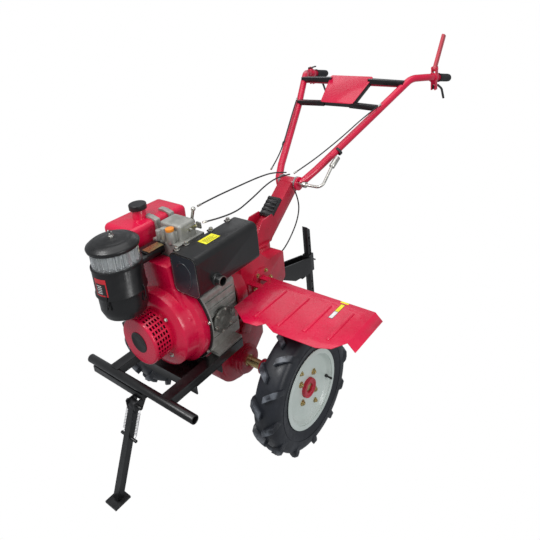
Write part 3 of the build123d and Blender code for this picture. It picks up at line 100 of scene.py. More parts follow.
def slab(outline, origin, across, up, depth):
    """A flat outline of (across, up) pairs, thickened by depth along across x up."""
    origin, across, up = Vector(origin), Vector(across).normalized(), Vector(up).normalized()
    out = across.cross(up) * depth
    near = [origin + across * a + up * b for a, b in outline]
    points = near + [p + out for p in near]
    n = len(near)
    faces = [tuple(range(n)), tuple(range(n, 2 * n))]
    faces += [(i, (i + 1) % n, n + (i + 1) % n, n + i) for i in range(n)]
    return points, faces


def block(low, high):
    """A box between two corners."""
    (x0, y0, z0), (x1, y1, z1) = low, high
    return slab([(x0, y0), (x1, y0), (x1, y1), (x0, y1)], (0, 0, z0), (1, 0, 0), (0, 1, 0), z1 - z0)


def smooth_line(points, radius=0.0, sides=4, steps=14):
    """Mesh of a NURBS line through soft corners; with a radius it is a tube, without one just its points."""
    data = bpy.data.curves.new("line", "CURVE")
    data.dimensions = "3D"
    spline = data.splines.new("NURBS")
    spline.points.add(len(points) - 1)
    for spot, p in zip(spline.points, points):
        spot.co = (*p, 1)
    spline.order_u = 3
    spline.use_endpoint_u = True
    data.resolution_u = steps
    data.bevel_depth = radius
    data.bevel_resolution = sides
    data.use_fill_caps = radius > 0
    holder = bpy.data.objects.new("line", data)
    mesh = bpy.data.meshes.new_from_object(holder)
    shell = [v.co.copy() for v in mesh.vertices], [tuple(f.vertices) for f in mesh.polygons]
    bpy.data.objects.remove(holder)
    bpy.data.meshes.remove(mesh)
    return shell


def merge(*shells):
    """Several shells as one."""
    points, faces = [], []
    for more_points, more_faces in shells:
        base = len(points)
        points += more_points
        faces += [tuple(base + i for i in face) for face in more_faces]
    return points, faces


def make(name, shell, finish, body, bevel=0.0, bend=38, subdivide=0, stands_for=()):
    """One piece from a shell: outward faces, rounded edges, a finish, and a body to ride on."""
    mesh = bpy.data.meshes.new(name)
    mesh.from_pydata([tuple(Vector(p) / 1000 + AXLE_SHIFT) for p in shell[0]], [], shell[1])
    work = bmesh.new()
    work.from_mesh(mesh)
    bmesh.ops.recalc_face_normals(work, faces=work.faces)
    for face in work.faces:
        face.smooth = True
    work.to_mesh(mesh)
    work.free()
    mesh.set_sharp_from_angle(angle=math.radians(bend))
    mesh.materials.append(finish)
    thing = bpy.data.objects.new(name, mesh)
    bpy.context.scene.collection.objects.link(thing)
    if bevel:
        edge = thing.modifiers.new("rounding", "BEVEL")
        edge.width, edge.segments, edge.limit_method = bevel / 1000, 2, "ANGLE"
        edge.angle_limit = math.radians(bend)
        edge.harden_normals = True
    if subdivide:
        thing.modifiers.new("smoothing", "SUBSURF").levels = subdivide
        thing.modifiers["smoothing"].render_levels = subdivide
    if body:
        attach(thing, body)
    if stands_for:
        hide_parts(*stands_for)
    return thing


def hex_head(at, out, across=13.0, height=8.0, washer=True):
    """A hexagon bolt head, on its washer, standing on a surface."""
    radius = across / math.sqrt(3)
    lift = 1.6 if washer else 0.0
    shells = [lathe([(lift, radius), (lift + height * 0.8, radius), (lift + height, radius * 0.86)], at,
                    out, 6)]
    if washer:
        shells.append(lathe([(0, radius * 1.35), (lift, radius * 1.35)], at, out, 24))
    return merge(*shells)


print("shell helpers ready")

# %% [markdown]
# A finish is a Principled shader whose roughness and bump come from noise, and its colour too in
# all but the clear plastic: orange peel of a millimetre in paint, sand grain in a casting, dust and a
# painted sheen on a tyre's lugs. Object coordinates are used because every piece is in metres in one
# shared frame, so the grain is the same size everywhere.

# %% Finish helpers
def new_finish(name):
    finish = bpy.data.materials.new(name)
    finish.use_nodes = True
    tree = finish.node_tree
    return finish, tree, tree.nodes["Principled BSDF"]


def noise(tree, scale, detail=3.0, roughness=0.55, stretch=None):
    """Noise in object space, 0 to 1."""
    place = tree.nodes.new("ShaderNodeTexCoord")
    grain = tree.nodes.new("ShaderNodeTexNoise")
    grain.inputs["Scale"].default_value = scale
    grain.inputs["Detail"].default_value = detail
    grain.inputs["Roughness"].default_value = roughness
    source = place.outputs["Object"]
    if stretch:
        squeeze = tree.nodes.new("ShaderNodeMapping")
        squeeze.inputs["Scale"].default_value = stretch
        tree.links.new(source, squeeze.inputs["Vector"])
        source = squeeze.outputs["Vector"]
    tree.links.new(source, grain.inputs["Vector"])
    return grain.outputs["Fac"]


def spread(tree, value, low, high, out_low=0.0, out_high=1.0):
    """Stretches part of a value's range over another range."""
    node = tree.nodes.new("ShaderNodeMapRange")
    for label, number in (("From Min", low), ("From Max", high), ("To Min", out_low), ("To Max", out_high)):
        node.inputs[label].default_value = number
    tree.links.new(value, node.inputs["Value"])
    return node.outputs["Result"]


def blend_colours(tree, share, first, second):
    """Mixes two colours, each a tuple or another node's output."""
    node = tree.nodes.new("ShaderNodeMix")
    node.data_type = "RGBA"
    tree.links.new(share, node.inputs["Factor"])
    for socket, colour in ((node.inputs[6], first), (node.inputs[7], second)):
        if isinstance(colour, tuple):
            socket.default_value = (*colour, 1)
        else:
            tree.links.new(colour, socket)
    return node.outputs[2]


def grain_bump(tree, shader, height, depth, strength=1.0):
    """Bump, with its real depth in metres."""
    bump = tree.nodes.new("ShaderNodeBump")
    bump.inputs["Strength"].default_value = strength
    bump.inputs["Distance"].default_value = depth
    tree.links.new(height, bump.inputs["Height"])
    tree.links.new(bump.outputs["Normal"], shader.inputs["Normal"])


def settle(tree, low=0.0, high=1.0):
    """How much a face looks up, from 0 for walls to 1 for flat tops, where dust settles."""
    geometry = tree.nodes.new("ShaderNodeNewGeometry")
    parts = tree.nodes.new("ShaderNodeSeparateXYZ")
    tree.links.new(geometry.outputs["Normal"], parts.inputs["Vector"])
    return spread(tree, parts.outputs["Z"], low, high)


def times(tree, first, second):
    node = tree.nodes.new("ShaderNodeMath")
    node.operation = "MULTIPLY"
    for socket, value in zip(node.inputs, (first, second)):
        if isinstance(value, float):
            socket.default_value = value
        else:
            tree.links.new(value, socket)
    return node.outputs[0]


def paint(name, colour, dull, rough=(0.2, 0.34), coat=0.5, dust=0.06, dust_colour=(0.55, 0.5, 0.45)):
    """Sprayed gloss paint: soft colour drift, orange peel, and a little dust on the faces that look up."""
    finish, tree, shader = new_finish(name)
    drift = spread(tree, noise(tree, 9), 0.35, 0.65)
    base = blend_colours(tree, drift, colour, dull)
    dusty = times(tree, times(tree, settle(tree, 0.3, 1.0), spread(tree, noise(tree, 42, 5), 0.45, 0.8)),
                  dust)
    tree.links.new(blend_colours(tree, dusty, base, dust_colour), shader.inputs["Base Color"])
    tree.links.new(spread(tree, noise(tree, 60, 4), 0.3, 0.7, *rough), shader.inputs["Roughness"])
    shader.inputs["Coat Weight"].default_value = coat
    shader.inputs["Coat Roughness"].default_value = 0.08
    grain_bump(tree, shader, noise(tree, 700, 2), 0.00012, 0.5)
    return finish


def plating(name, colour, tint, rough=(0.22, 0.4), brushed=None, metallic=1.0):
    """Plated or machined metal with faint colour patches and a fine grain, drawn out where brushed."""
    finish, tree, shader = new_finish(name)
    share = spread(tree, noise(tree, 85, 4), 0.35, 0.7)
    tree.links.new(blend_colours(tree, share, colour, tint), shader.inputs["Base Color"])
    shader.inputs["Metallic"].default_value = metallic
    tree.links.new(spread(tree, noise(tree, 240, 4, stretch=brushed), 0.3, 0.7, *rough),
                   shader.inputs["Roughness"])
    grain_bump(tree, shader, noise(tree, 900, 3, stretch=brushed), 0.00006, 0.5)
    return finish


def plastic(name, colour, rough=0.42, grain=900, depth=0.0001):
    """Moulded plastic or rubber with a fine spark-eroded grain."""
    finish, tree, shader = new_finish(name)
    lighter = tuple(min(1.0, c * 1.5 + 0.004) for c in colour)
    share = spread(tree, noise(tree, 30, 4), 0.4, 0.75)
    tree.links.new(blend_colours(tree, share, colour, lighter), shader.inputs["Base Color"])
    tree.links.new(spread(tree, noise(tree, 120, 3), 0.3, 0.7, rough - 0.08, rough + 0.12),
                   shader.inputs["Roughness"])
    grain_bump(tree, shader, noise(tree, grain, 2), depth, 0.6)
    return finish


print("finish helpers ready")

# %% [markdown]
# The machine wears few colours: crimson gloss on the sheet metal and castings, satin black on the
# frame and exhaust, off-white wheel discs, bare grey castings on the engine, and yellow or bright
# plating on the fasteners. Each is made once here and shared by all the pieces that have it.

# %% Paints, metals and plastics
red_paint = paint("crimson_gloss_paint", (0.72, 0.003, 0.055), (0.62, 0.002, 0.042), rough=(0.22, 0.36),
                  coat=0.35, dust=0.02)
dark_red_paint = paint("crimson_casting_paint", (0.56, 0.003, 0.036), (0.4, 0.002, 0.022),
                       rough=(0.26, 0.42), coat=0.35, dust=0.02)
lever_paint = paint("lever_crimson_paint", (0.62, 0.03, 0.06), (0.5, 0.02, 0.04), rough=(0.3, 0.45),
                    coat=0.3)
black_paint = paint("satin_black_paint", (0.0045, 0.0045, 0.005), (0.008, 0.008, 0.0085),
                    rough=(0.26, 0.42), coat=0.12,
                    dust=0.03, dust_colour=(0.2, 0.19, 0.18))
muffler_paint = paint("heat_black_paint", (0.005, 0.005, 0.0055), (0.009, 0.009, 0.0095),
                      rough=(0.28, 0.4), coat=0.12,
                      dust=0.015, dust_colour=(0.2, 0.19, 0.18))
slate_paint = paint("slate_cap_paint", (0.018, 0.022, 0.03), (0.026, 0.03, 0.038), rough=(0.28, 0.4),
                    coat=0.4, dust=0.0)
white_paint = paint("off_white_disc_paint", (0.66, 0.73, 0.69), (0.58, 0.66, 0.61), rough=(0.3, 0.42),
                    coat=0.25,
                    dust=0.0)
zinc_yellow = plating("yellow_zinc_plate", (0.66, 0.48, 0.2), (0.5, 0.42, 0.24))
zinc_bright = plating("bright_zinc_plate", (0.68, 0.66, 0.6), (0.5, 0.5, 0.48))
steel = plating("machined_steel", (0.55, 0.55, 0.54), (0.42, 0.42, 0.41), brushed=(1, 1, 12))
wire_steel = plating("spring_wire", (0.62, 0.62, 0.64), (0.45, 0.45, 0.48), rough=(0.28, 0.42))
black_plastic = plastic("black_moulding", (0.012, 0.012, 0.013), rough=0.38)
black_rubber = plastic("black_rubber", (0.013, 0.013, 0.014), rough=0.5, grain=500, depth=0.0002)
cable_jacket = plastic("cable_jacket", (0.01, 0.01, 0.011), rough=0.34)
orange_plastic = plastic("orange_moulding", (0.8, 0.24, 0.02), rough=0.32)
label_yellow = plastic("yellow_label_film", (0.85, 0.72, 0.02), rough=0.25, depth=0.00002)
label_white = plastic("white_label_film", (0.72, 0.72, 0.7), rough=0.25, depth=0.00002)
label_red = plastic("red_label_film", (0.6, 0.02, 0.03), rough=0.25, depth=0.00002)
label_black = plastic("black_label_film", (0.012, 0.012, 0.012), rough=0.22, depth=0.00002)
print("paints, metals and plastics ready")


# %% Cast aluminium, tyre rubber and clear plastic
def casting(name, light, dark):
    """Sand-cast metal: coarse grain, stains in patches, no gloss coat."""
    finish, tree, shader = new_finish(name)
    stains = spread(tree, noise(tree, 26, 6, 0.7), 0.42, 0.68)
    tree.links.new(blend_colours(tree, stains, light, dark), shader.inputs["Base Color"])
    shader.inputs["Metallic"].default_value = 0.55
    tree.links.new(spread(tree, noise(tree, 150, 4), 0.3, 0.7, 0.42, 0.62), shader.inputs["Roughness"])
    grain_bump(tree, shader, noise(tree, 420, 4, 0.7), 0.0005, 0.7)
    return finish


cast_grey = casting("cast_aluminium", (0.46, 0.46, 0.43), (0.3, 0.3, 0.27))
cast_dark = casting("cast_iron_stained", (0.2, 0.2, 0.18), (0.09, 0.09, 0.08))


def tyre_rubber_finish():
    """Black rubber with a blue cast, greyer where the lugs stand out beyond the carcass, as dust and as a
    painted sheen.
    """
    finish, tree, shader = new_finish("dust_and_painted_sheen_tyre_rubber")
    place = tree.nodes.new("ShaderNodeTexCoord")
    off_axle = tree.nodes.new("ShaderNodeVectorMath")
    off_axle.operation = "SUBTRACT"
    off_axle.inputs[1].default_value = (0, AXLE_SHIFT.y, AXLE_Z / 1000)
    tree.links.new(place.outputs["Object"], off_axle.inputs[0])
    flat = tree.nodes.new("ShaderNodeVectorMath")
    flat.operation = "MULTIPLY"
    flat.inputs[1].default_value = (0, 1, 1)
    tree.links.new(off_axle.outputs["Vector"], flat.inputs[0])
    reach = tree.nodes.new("ShaderNodeVectorMath")
    reach.operation = "LENGTH"
    tree.links.new(flat.outputs["Vector"], reach.inputs[0])
    # The lugs' outer band is greyed in patches: partly dust, partly a painted sheen in place of the light the
    # lug tops catch.
    lug_dust_and_sheen_band = spread(tree, reach.outputs["Value"], 0.222, 0.234)
    dusty = times(tree, lug_dust_and_sheen_band, spread(tree, noise(tree, 34, 5, 0.65), 0.36, 0.62))
    rubber = blend_colours(tree, spread(tree, noise(tree, 12, 4), 0.4, 0.7), (0.010, 0.012, 0.017),
                           (0.020, 0.023, 0.031))
    tree.links.new(blend_colours(tree, times(tree, dusty, 0.8), rubber, (0.20, 0.22, 0.25)),
                   shader.inputs["Base Color"])
    tree.links.new(spread(tree, noise(tree, 50, 4), 0.3, 0.7, 0.32, 0.55), shader.inputs["Roughness"])
    grain_bump(tree, shader, noise(tree, 320, 4), 0.0004, 0.6)
    return finish


tyre_rubber = tyre_rubber_finish()


def clear_plastic_finish():
    finish, tree, shader = new_finish("clear_bowl_plastic")
    shader.inputs["Base Color"].default_value = (0.93, 0.96, 0.97, 1)
    shader.inputs["Transmission Weight"].default_value = 0.85
    shader.inputs["IOR"].default_value = 1.45
    tree.links.new(spread(tree, noise(tree, 90, 4), 0.3, 0.7, 0.06, 0.2), shader.inputs["Roughness"])
    grain_bump(tree, shader, noise(tree, 60, 3), 0.0004, 0.4)
    return finish


clear_plastic = clear_plastic_finish()
print("castings, rubber and clear plastic ready")

# %% [markdown]
# The camera is placed where a person would stand to look at the engine and the left wheel. Its
# view is shifted down so that the machine fills it.

# %% Camera
CAMERA_AT = (1.290, -1.166 + AXLE_SHIFT.y, 1.561)
CAMERA_AZIMUTH, CAMERA_ELEVATION = math.radians(39.591), math.radians(19.845)
CAMERA_ROLL = math.radians(-5.512)
CAMERA_LENS, CAMERA_SHIFT = 35.385, -0.1815


def place_camera():
    data = bpy.data.cameras.new("camera")
    data.lens, data.sensor_width, data.shift_y = CAMERA_LENS, 36.0, CAMERA_SHIFT
    data.clip_end = 60
    camera = bpy.data.objects.new("camera", data)
    bpy.context.scene.collection.objects.link(camera)
    level = math.cos(CAMERA_ELEVATION)
    back = Vector((math.sin(CAMERA_AZIMUTH) * level, -math.cos(CAMERA_AZIMUTH) * level,
                   math.sin(CAMERA_ELEVATION)))
    right = (-back).cross(Vector((0, 0, 1))).normalized()
    up = right.cross(-back)
    leaned_right = right * math.cos(CAMERA_ROLL) + up * math.sin(CAMERA_ROLL)
    leaned_up = up * math.cos(CAMERA_ROLL) - right * math.sin(CAMERA_ROLL)
    turn = camera.matrix_world.copy()
    for i, column in enumerate((leaned_right, leaned_up, back)):
        for row in range(3):
            turn[row][i] = column[row]
        turn[i][3] = CAMERA_AT[i]
    camera.matrix_world = turn
    bpy.context.scene.camera = camera
    return camera


camera = place_camera()
print("camera at", CAMERA_AT)

# %% [markdown]
# Studio light: a plain white surround without a floor, a broad panel overhead, a key from the
# camera's left, and weaker panels at the side and behind that draw highlights along the tubes.

# %% Surround and lights
world = bpy.data.worlds.new("studio")
bpy.context.scene.world = world
world.use_nodes = True
AMBIENT = 0.38
surround = world.node_tree.nodes["Background"]
seen_white = world.node_tree.nodes.new("ShaderNodeBackground")
chooser = world.node_tree.nodes.new("ShaderNodeMixShader")
ray = world.node_tree.nodes.new("ShaderNodeLightPath")
surround.inputs["Color"].default_value = (0.93, 0.96, 1.0, 1)
surround.inputs["Strength"].default_value = AMBIENT
seen_white.inputs["Color"].default_value = (1, 1, 1, 1)
world.node_tree.links.new(ray.outputs["Is Camera Ray"], chooser.inputs["Fac"])
world.node_tree.links.new(surround.outputs["Background"], chooser.inputs[1])
world.node_tree.links.new(seen_white.outputs["Background"], chooser.inputs[2])
world.node_tree.links.new(chooser.outputs["Shader"],
                          world.node_tree.nodes["World Output"].inputs["Surface"])


def panel_light(name, place, aim, size, power):
    data = bpy.data.lights.new(name, "AREA")
    data.shape, data.size, data.size_y, data.energy = "RECTANGLE", size[0], size[1], power
    lamp = bpy.data.objects.new(name, data)
    bpy.context.scene.collection.objects.link(lamp)
    lamp.location = place
    lamp.rotation_euler = (Vector(aim) - Vector(place)).to_track_quat("-Z", "Y").to_euler()


panel_light("key_panel", (-0.4, -2.6, 3.6), (0, -0.3, 0.5), (1.8, 1.2), 70)
panel_light("side_panel", (3.2, -0.9, 1.5), (0.2, -0.2, 0.4), (1.0, 1.8), 32)
panel_light("rear_panel", (-1.8, 2.8, 2.6), (0, 0.3, 0.6), (1.8, 1.2), 6)
panel_light("top_panel", (0, 0, 5.5), (0, 0, 0), (5.0, 5.0), 110)
bpy.context.scene.view_settings.view_transform = "Standard"
bpy.context.scene.view_settings.look = "None"
print("surround and lights ready")

# %% [markdown]
# Many parts already have the right shape. They keep it and get a finish, and on all but those named
# in SHARP_EDGES a small bevel rounds the edges so that each one catches the light. The tessellated
# faces are welded and shaded smooth wherever they meet at a shallow angle.

# %% Finishes for the parts that keep their shape
KEPT = {
    red_paint: "blower_housing recoil_drum fuel_tank left_fender right_fender left_handlebar right_handlebar "
               "cross_tube console_panel",
    dark_red_paint: "clutch_housing gearbox_case walking_case left_hub right_hub steering_column",
    black_paint: "left_rail right_rail front_bumper stand_crossbar engine_bed front_stand air_cleaner_body "
                 "intake_elbow hitch_bracket drag_stake console_frame",
    muffler_paint: "muffler",
    cast_grey: "crankcase cylinder rocker_cover tank_straps",
    steel: "crankshaft flywheel axle_gear drive_pinion pivot_ratchets",
    zinc_yellow: "hex_axle wheel_bolts",
    zinc_bright: "lock_handle throttle_arm decompression_lever",
    clear_plastic: "precleaner_bowl",
    orange_plastic: "oil_cap",
    black_plastic: "fuel_cap recoil_handle shift_guide throttle_lever left_hand_lever right_hand_lever",
    lever_paint: "clutch_lever",
}
SHARP_EDGES = {"precleaner_bowl", "axle_gear", "drive_pinion", "pivot_ratchets", "flywheel", "crankshaft",
               "cylinder",
               "recoil_drum"}


def dress(name, finish, rounding=1.2):
    """A CAD part's finish, smooth shading and softened edges; its points aren't touched."""
    part = nodes[name]
    for holder in part.material_slots:
        holder.material = finish
    part.data.polygons.foreach_set("use_smooth", [True] * len(part.data.polygons))
    weld = part.modifiers.new("weld", "WELD")
    weld.merge_threshold = 0.00002
    if name not in SHARP_EDGES:
        edge = part.modifiers.new("rounding", "BEVEL")
        edge.width, edge.segments, edge.limit_method = rounding / 1000, 2, "ANGLE"
        edge.angle_limit = math.radians(40)
        edge.harden_normals = True
    by_angle = part.modifiers.new("smooth", "EDGE_SPLIT")
    by_angle.split_angle = math.radians(40)
    by_angle.use_edge_sharp = False


for finish, names in KEPT.items():
    for name in names.split():
        dress(name, finish)
print("dressed", sum(len(names.split()) for names in KEPT.values()), "parts")

# %% [markdown]
# ## Wheels
# The tyre is a field tyre: a round-shouldered carcass with slanted bars, those of one side halfway
# between those of the other. A lathe gives the carcass, and each bar follows it from the middle of
# the tread, over the shoulder and down the sidewall, so it is made as a chain of cross-sections.

# %% Tyre
TYRE_R = (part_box("left_tyre")[1].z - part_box("left_tyre")[0].z) * 500
LUG_H = 17.0
TREAD_R = TYRE_R - LUG_H
LUGS_ROUND = 12
CARCASS = [(34, 137), (40, 140), (41.5, 146), (44, 156), (48, 168), (49.6, 180), (49, 192), (46, 204),
           (41, 212),
           (34, 216.5), (24, 218.3), (12, TREAD_R), (0, TREAD_R + 0.3)]
LUG_LINE = [(3, TREAD_R), (14, TREAD_R), (27, 217.6), (37, 214), (44, 207), (48, 197), (49, 187)]


def carcass_loop():
    """Outside from bead to bead, then back along the inside."""
    outside = [(-a, r) for a, r in CARCASS] + CARCASS[-2::-1]
    inside = [(a * 0.72, r - 9) for a, r in CARCASS]
    return outside + inside[1:] + [(-a, r) for a, r in reversed(inside[1:-1])]


def lug(side, middle_turn, middle_x):
    """One bar: a chain of four-cornered sections over the carcass."""
    points, faces = [], []
    for k, (a, r) in enumerate(LUG_LINE):
        ahead = LUG_LINE[min(k + 1, len(LUG_LINE) - 1)]
        back = LUG_LINE[max(k - 1, 0)]
        run, fall = ahead[0] - back[0], ahead[1] - back[1]
        size = math.hypot(run, fall)
        out_a, out_r = -fall / size, run / size
        height = LUG_H if k < 4 else LUG_H * (1 - 0.27 * (k - 3))
        lean = middle_turn - 0.0038 * a
        for deep, half in ((-3.0, 14.5), (height, 11.0)):
            a2, r2 = a + out_a * max(deep, 0) * 0.9, r + out_r * deep
            a2, r2 = min(a2, 50.0), min(r2, TYRE_R - 0.2)
            for sign in (-1, 1):
                turn = lean + sign * half / TYRE_R
                points.append(Vector((middle_x + side * a2, math.cos(turn) * r2,
                                      AXLE_Z + math.sin(turn) * r2)))
    for k in range(len(LUG_LINE) - 1):
        here, after = 4 * k, 4 * k + 4
        for i, j in ((0, 1), (1, 3), (3, 2), (2, 0)):
            faces.append((here + i, here + j, after + j, after + i))
    faces += [(0, 1, 3, 2), (4 * len(LUG_LINE) - 4, 4 * len(LUG_LINE) - 3, 4 * len(LUG_LINE) - 1,
                             4 * len(LUG_LINE) - 2)]
    return points, faces


def tyre(name, node):
    low, high = span(node)
    middle_x = (low.x + high.x) / 2
    body = lathe(carcass_loop(), (middle_x, 0, AXLE_Z), (1, 0, 0), 120, closed=True)
    make(name + "_carcass", body, tyre_rubber, "wheels", bend=60, stands_for=(node,))
    bars = []
    for i in range(LUGS_ROUND):
        turn = math.pi / 2 + 0.0038 * 25 + 2 * math.pi * i / LUGS_ROUND
        bars.append(lug(1, turn, middle_x))
        bars.append(lug(-1, turn + math.pi / LUGS_ROUND, middle_x))
    ridges = [lathe([(s * 49.2, 172), (s * 50.4, 173), (s * 50.4, 175), (s * 49.2, 176)],
                    (middle_x, 0, AXLE_Z), (1, 0, 0),
                    96, closed=True) for s in (-1, 1)]
    make(name + "_lugs", merge(*bars, *ridges), tyre_rubber, "wheels", bevel=2.2, bend=50)
    print(name, "with", len(bars), "lugs")


tyre("left_tyre_rubber", "left_tyre")
tyre("right_tyre_rubber", "right_tyre")

# %% [markdown]
# The wheel disc is one pale pressing, almost flat, that sweeps out to the rim. The hub's red end
# ring stands in its middle with plated bolts round it, two more bolts further out, and the valve
# stem near the rim. The rim's barrel behind it is turned as part of the same piece.

# %% Wheel disc and rim
HUB_END = span("left_hub")[1].x - (span("left_tyre")[0].x + span("left_tyre")[1].x) / 2
RIM_BARREL = [(-44, 140), (-40.5, 140), (-40.5, 127), (-26, 126), (-16, 106), (16, 106), (26, 126),
              (40.5, 127),
              (40.5, 139), (42.5, 141), (44.5, 139.5), (44.5, 124), (28, 122.5), (17.5, 102.5),
              (-17.5, 102.5),
              (-28, 122.5), (-44, 122.5)]
DISC_FRONT = [(24.0, 35.2), (24.0, 60), (24.2, 80), (25.4, 98), (28.5, 112), (34.5, 121), (40.5, 126),
              (40.5, 122),
              (34.5, 117), (26, 110), (21.4, 98), (20.0, 80), (20.0, 35.2)]


def wheel(name, node):
    low, high = span(node)
    middle_x = (low.x + high.x) / 2
    centre = (middle_x, 0, AXLE_Z)
    shell = merge(lathe(RIM_BARREL, centre, (1, 0, 0), 112, closed=True),
                  lathe(DISC_FRONT, centre, (1, 0, 0), 112, closed=True))
    make(name, shell, white_paint, "wheels", bevel=0.8, bend=50, stands_for=(node,))
    ring = [(HUB_END - 1, 34.5), (HUB_END + 2, 34), (HUB_END + 2.6, 31), (HUB_END + 1.6, 27),
            (HUB_END - 1.5, 25),
            (HUB_END - 1.5, 34.5)]
    make(name + "_hub_ring", lathe(ring, centre, (1, 0, 0), 72, closed=True), dark_red_paint, "wheels",
         bend=40)
    far = []
    for turn in (math.radians(112), math.radians(292)):
        spot = (middle_x + 25.0, 88 * math.cos(turn), AXLE_Z + 88 * math.sin(turn))
        far.append(hex_head(spot, (1, 0, 0), 12, 6))
        far.append(lathe([(6, 4), (10, 4), (11, 3)], spot, (1, 0, 0), 20))
    for i in range(4):
        turn = math.radians(45 + 90 * i)
        spot = (middle_x + 24.0, 54 * math.cos(turn), AXLE_Z + 54 * math.sin(turn))
        far.append(lathe([(0.1, 11.5), (1.8, 11.5), (2.0, 11.0)], spot, (1, 0, 0), 28))
        far.append(lathe([(7, 4.6), (9.6, 4.6), (10.4, 3.8)], spot, (1, 0, 0), 20))
    make(name + "_outer_bolts", merge(*far), zinc_yellow, "wheels", bevel=0.5)
    turn = math.radians(-14)
    stem = (middle_x + 30, 108 * math.cos(turn), AXLE_Z + 108 * math.sin(turn))
    make(name + "_valve", lathe([(-4, 5.5), (4, 5.5), (7, 3.6), (18, 3.4), (18.5, 4.2), (25, 4.2),
                                 (26, 3.4)], stem,
                                (1, -0.12, 0.03), 24), black_rubber, "wheels", bend=30)
    print(name, "disc, ring, bolts and valve")


wheel("left_wheel", "left_rim")
wheel("right_wheel", "right_rim")

# %% [markdown]
# ## Engine
# The air cleaner is a black can with a clear bowl of slanted vanes under a pressed lid. The lid is
# turned with a rolled rim and a raised ring, because those edges carry its highlights, and its wing
# nut is a turned cone with two plate wings. The can gets two bands, clips and a label of plain bars.

# %% Air cleaner lid, wing nut, filter and clips
can_low = span("air_cleaner_body")[0]
bowl_low, bowl_high = span("precleaner_bowl")
CAN_X, CAN_Y = (bowl_low.x + bowl_high.x) / 2, (bowl_low.y + bowl_high.y) / 2
CAN_R = (bowl_high.x - bowl_low.x) / 2 + 4
LID_Z = span("air_cleaner_lid")[0].z
UPWARD = (0, 0, 1)
lid_profile = [(-4, CAN_R - 4), (-5, CAN_R), (-3, CAN_R + 3), (1.5, CAN_R + 4), (5, CAN_R + 2.5),
               (7, CAN_R - 1),
               (11, CAN_R - 5), (16, CAN_R - 13), (18.5, CAN_R - 22), (18.5, CAN_R - 25),
               (20, CAN_R - 28), (21.5, CAN_R - 40),
               (22.5, 26), (24.5, 22), (25, 16), (25, 5)]
make("air_cleaner_pressed_lid", lathe(lid_profile, (CAN_X, CAN_Y, LID_Z), UPWARD, 96), black_paint,
     "chassis", bend=55,
     stands_for=("air_cleaner_lid",))
wing = merge(lathe([(24, 9), (27, 9), (30, 6.5), (34, 5.5), (37, 4)], (CAN_X, CAN_Y, LID_Z), UPWARD, 28),
             *[slab([(0, 0), (9, 3), (12, 12), (8, 16), (2, 12)], (CAN_X, CAN_Y - 1.2, LID_Z + 30),
                    (s, 0.1, 0), UPWARD, s * 2.4)
               for s in (-1, 1)])
make("air_cleaner_wing_nut", wing, zinc_bright, "chassis", bevel=0.7)
core = lathe([(bowl_low.z + 1, CAN_R - 20), (bowl_low.z + 9, CAN_R - 16), (bowl_high.z - 9, CAN_R - 16),
              (bowl_high.z - 1, CAN_R - 20)], (CAN_X, CAN_Y, 0), UPWARD, 72)
fins = [slab([(0, 0), (13, 0), (13, bowl_high.z - bowl_low.z - 8), (0, bowl_high.z - bowl_low.z - 8)],
             (CAN_X + math.cos(t) * (CAN_R - 18), CAN_Y + math.sin(t) * (CAN_R - 18), bowl_low.z + 4),
             (math.cos(t + 0.55), math.sin(t + 0.55), 0), UPWARD, 1.6)
        for t in [2 * math.pi * i / 26 for i in range(26)]]
make("air_cleaner_vanes", merge(core, *fins), label_white, "chassis", bevel=0.3)
bands = [lathe([(z, CAN_R - 1), (z + 0.6, CAN_R + 1.6), (z + 5.4, CAN_R + 1.6), (z + 6, CAN_R - 1)],
               (CAN_X, CAN_Y, 0), UPWARD,
               96, closed=True) for z in (bowl_low.z - 7, bowl_high.z - 8)]
make("air_cleaner_bands", merge(*bands), black_paint, "chassis", bend=50)
SEAM_Z = can_low.z + 92
clips = []
for turn in (math.radians(200), math.radians(20), math.radians(290)):
    out = Vector((math.cos(turn), math.sin(turn), 0))
    across = Vector((-out.y, out.x, 0))
    foot = Vector((CAN_X, CAN_Y, SEAM_Z - 34)) + out * (CAN_R - 3)
    clips.append(slab([(-7, 0), (7, 0), (6, 52), (-6, 52)], foot, across, UPWARD, 2.2))
    clips.append(smooth_line([foot + out * 4 - across * 8, foot + out * 9 + across * 0 + Vector((0, 0, 20)),
                              foot + out * 8 + Vector((0, 0, 40)), foot + out * 3 + Vector((0, 0, 54))],
                             1.6))
    clips.append(smooth_line([foot + out * 4 + across * 8, foot + out * 9 + Vector((0, 0, 24)),
                              foot + out * 8 + Vector((0, 0, 42)), foot + out * 3 + Vector((0, 0, 54))],
                             1.6))
make("air_cleaner_clips", merge(*clips), black_paint, "chassis", bevel=0.4)


def curved_label(name, centre, radius, turn, half_turn, z0, z1, finish, lift=0.5):
    """A thin label wrapped on an upright can."""
    steps, points, faces = 12, [], []
    for r in (radius + lift - 0.4, radius + lift):
        for z in (z0, z1):
            for i in range(steps + 1):
                angle = turn + half_turn * (2 * i / steps - 1)
                points.append(Vector((centre[0] + math.cos(angle) * r, centre[1] + math.sin(angle) * r, z)))
    n = steps + 1
    for i in range(steps):
        faces.append((2 * n + i, 2 * n + i + 1, 3 * n + i + 1, 3 * n + i))
        faces.append((i, n + i, n + i + 1, i + 1))
        faces.append((i, i + 1, 2 * n + i + 1, 2 * n + i))
        faces.append((n + i, 3 * n + i, 3 * n + i + 1, n + i + 1))
    faces += [(0, 2 * n, 3 * n, n), (n - 1, 2 * n - 1, 4 * n - 1, 3 * n - 1)]
    make(name, (points, faces), finish, "chassis")


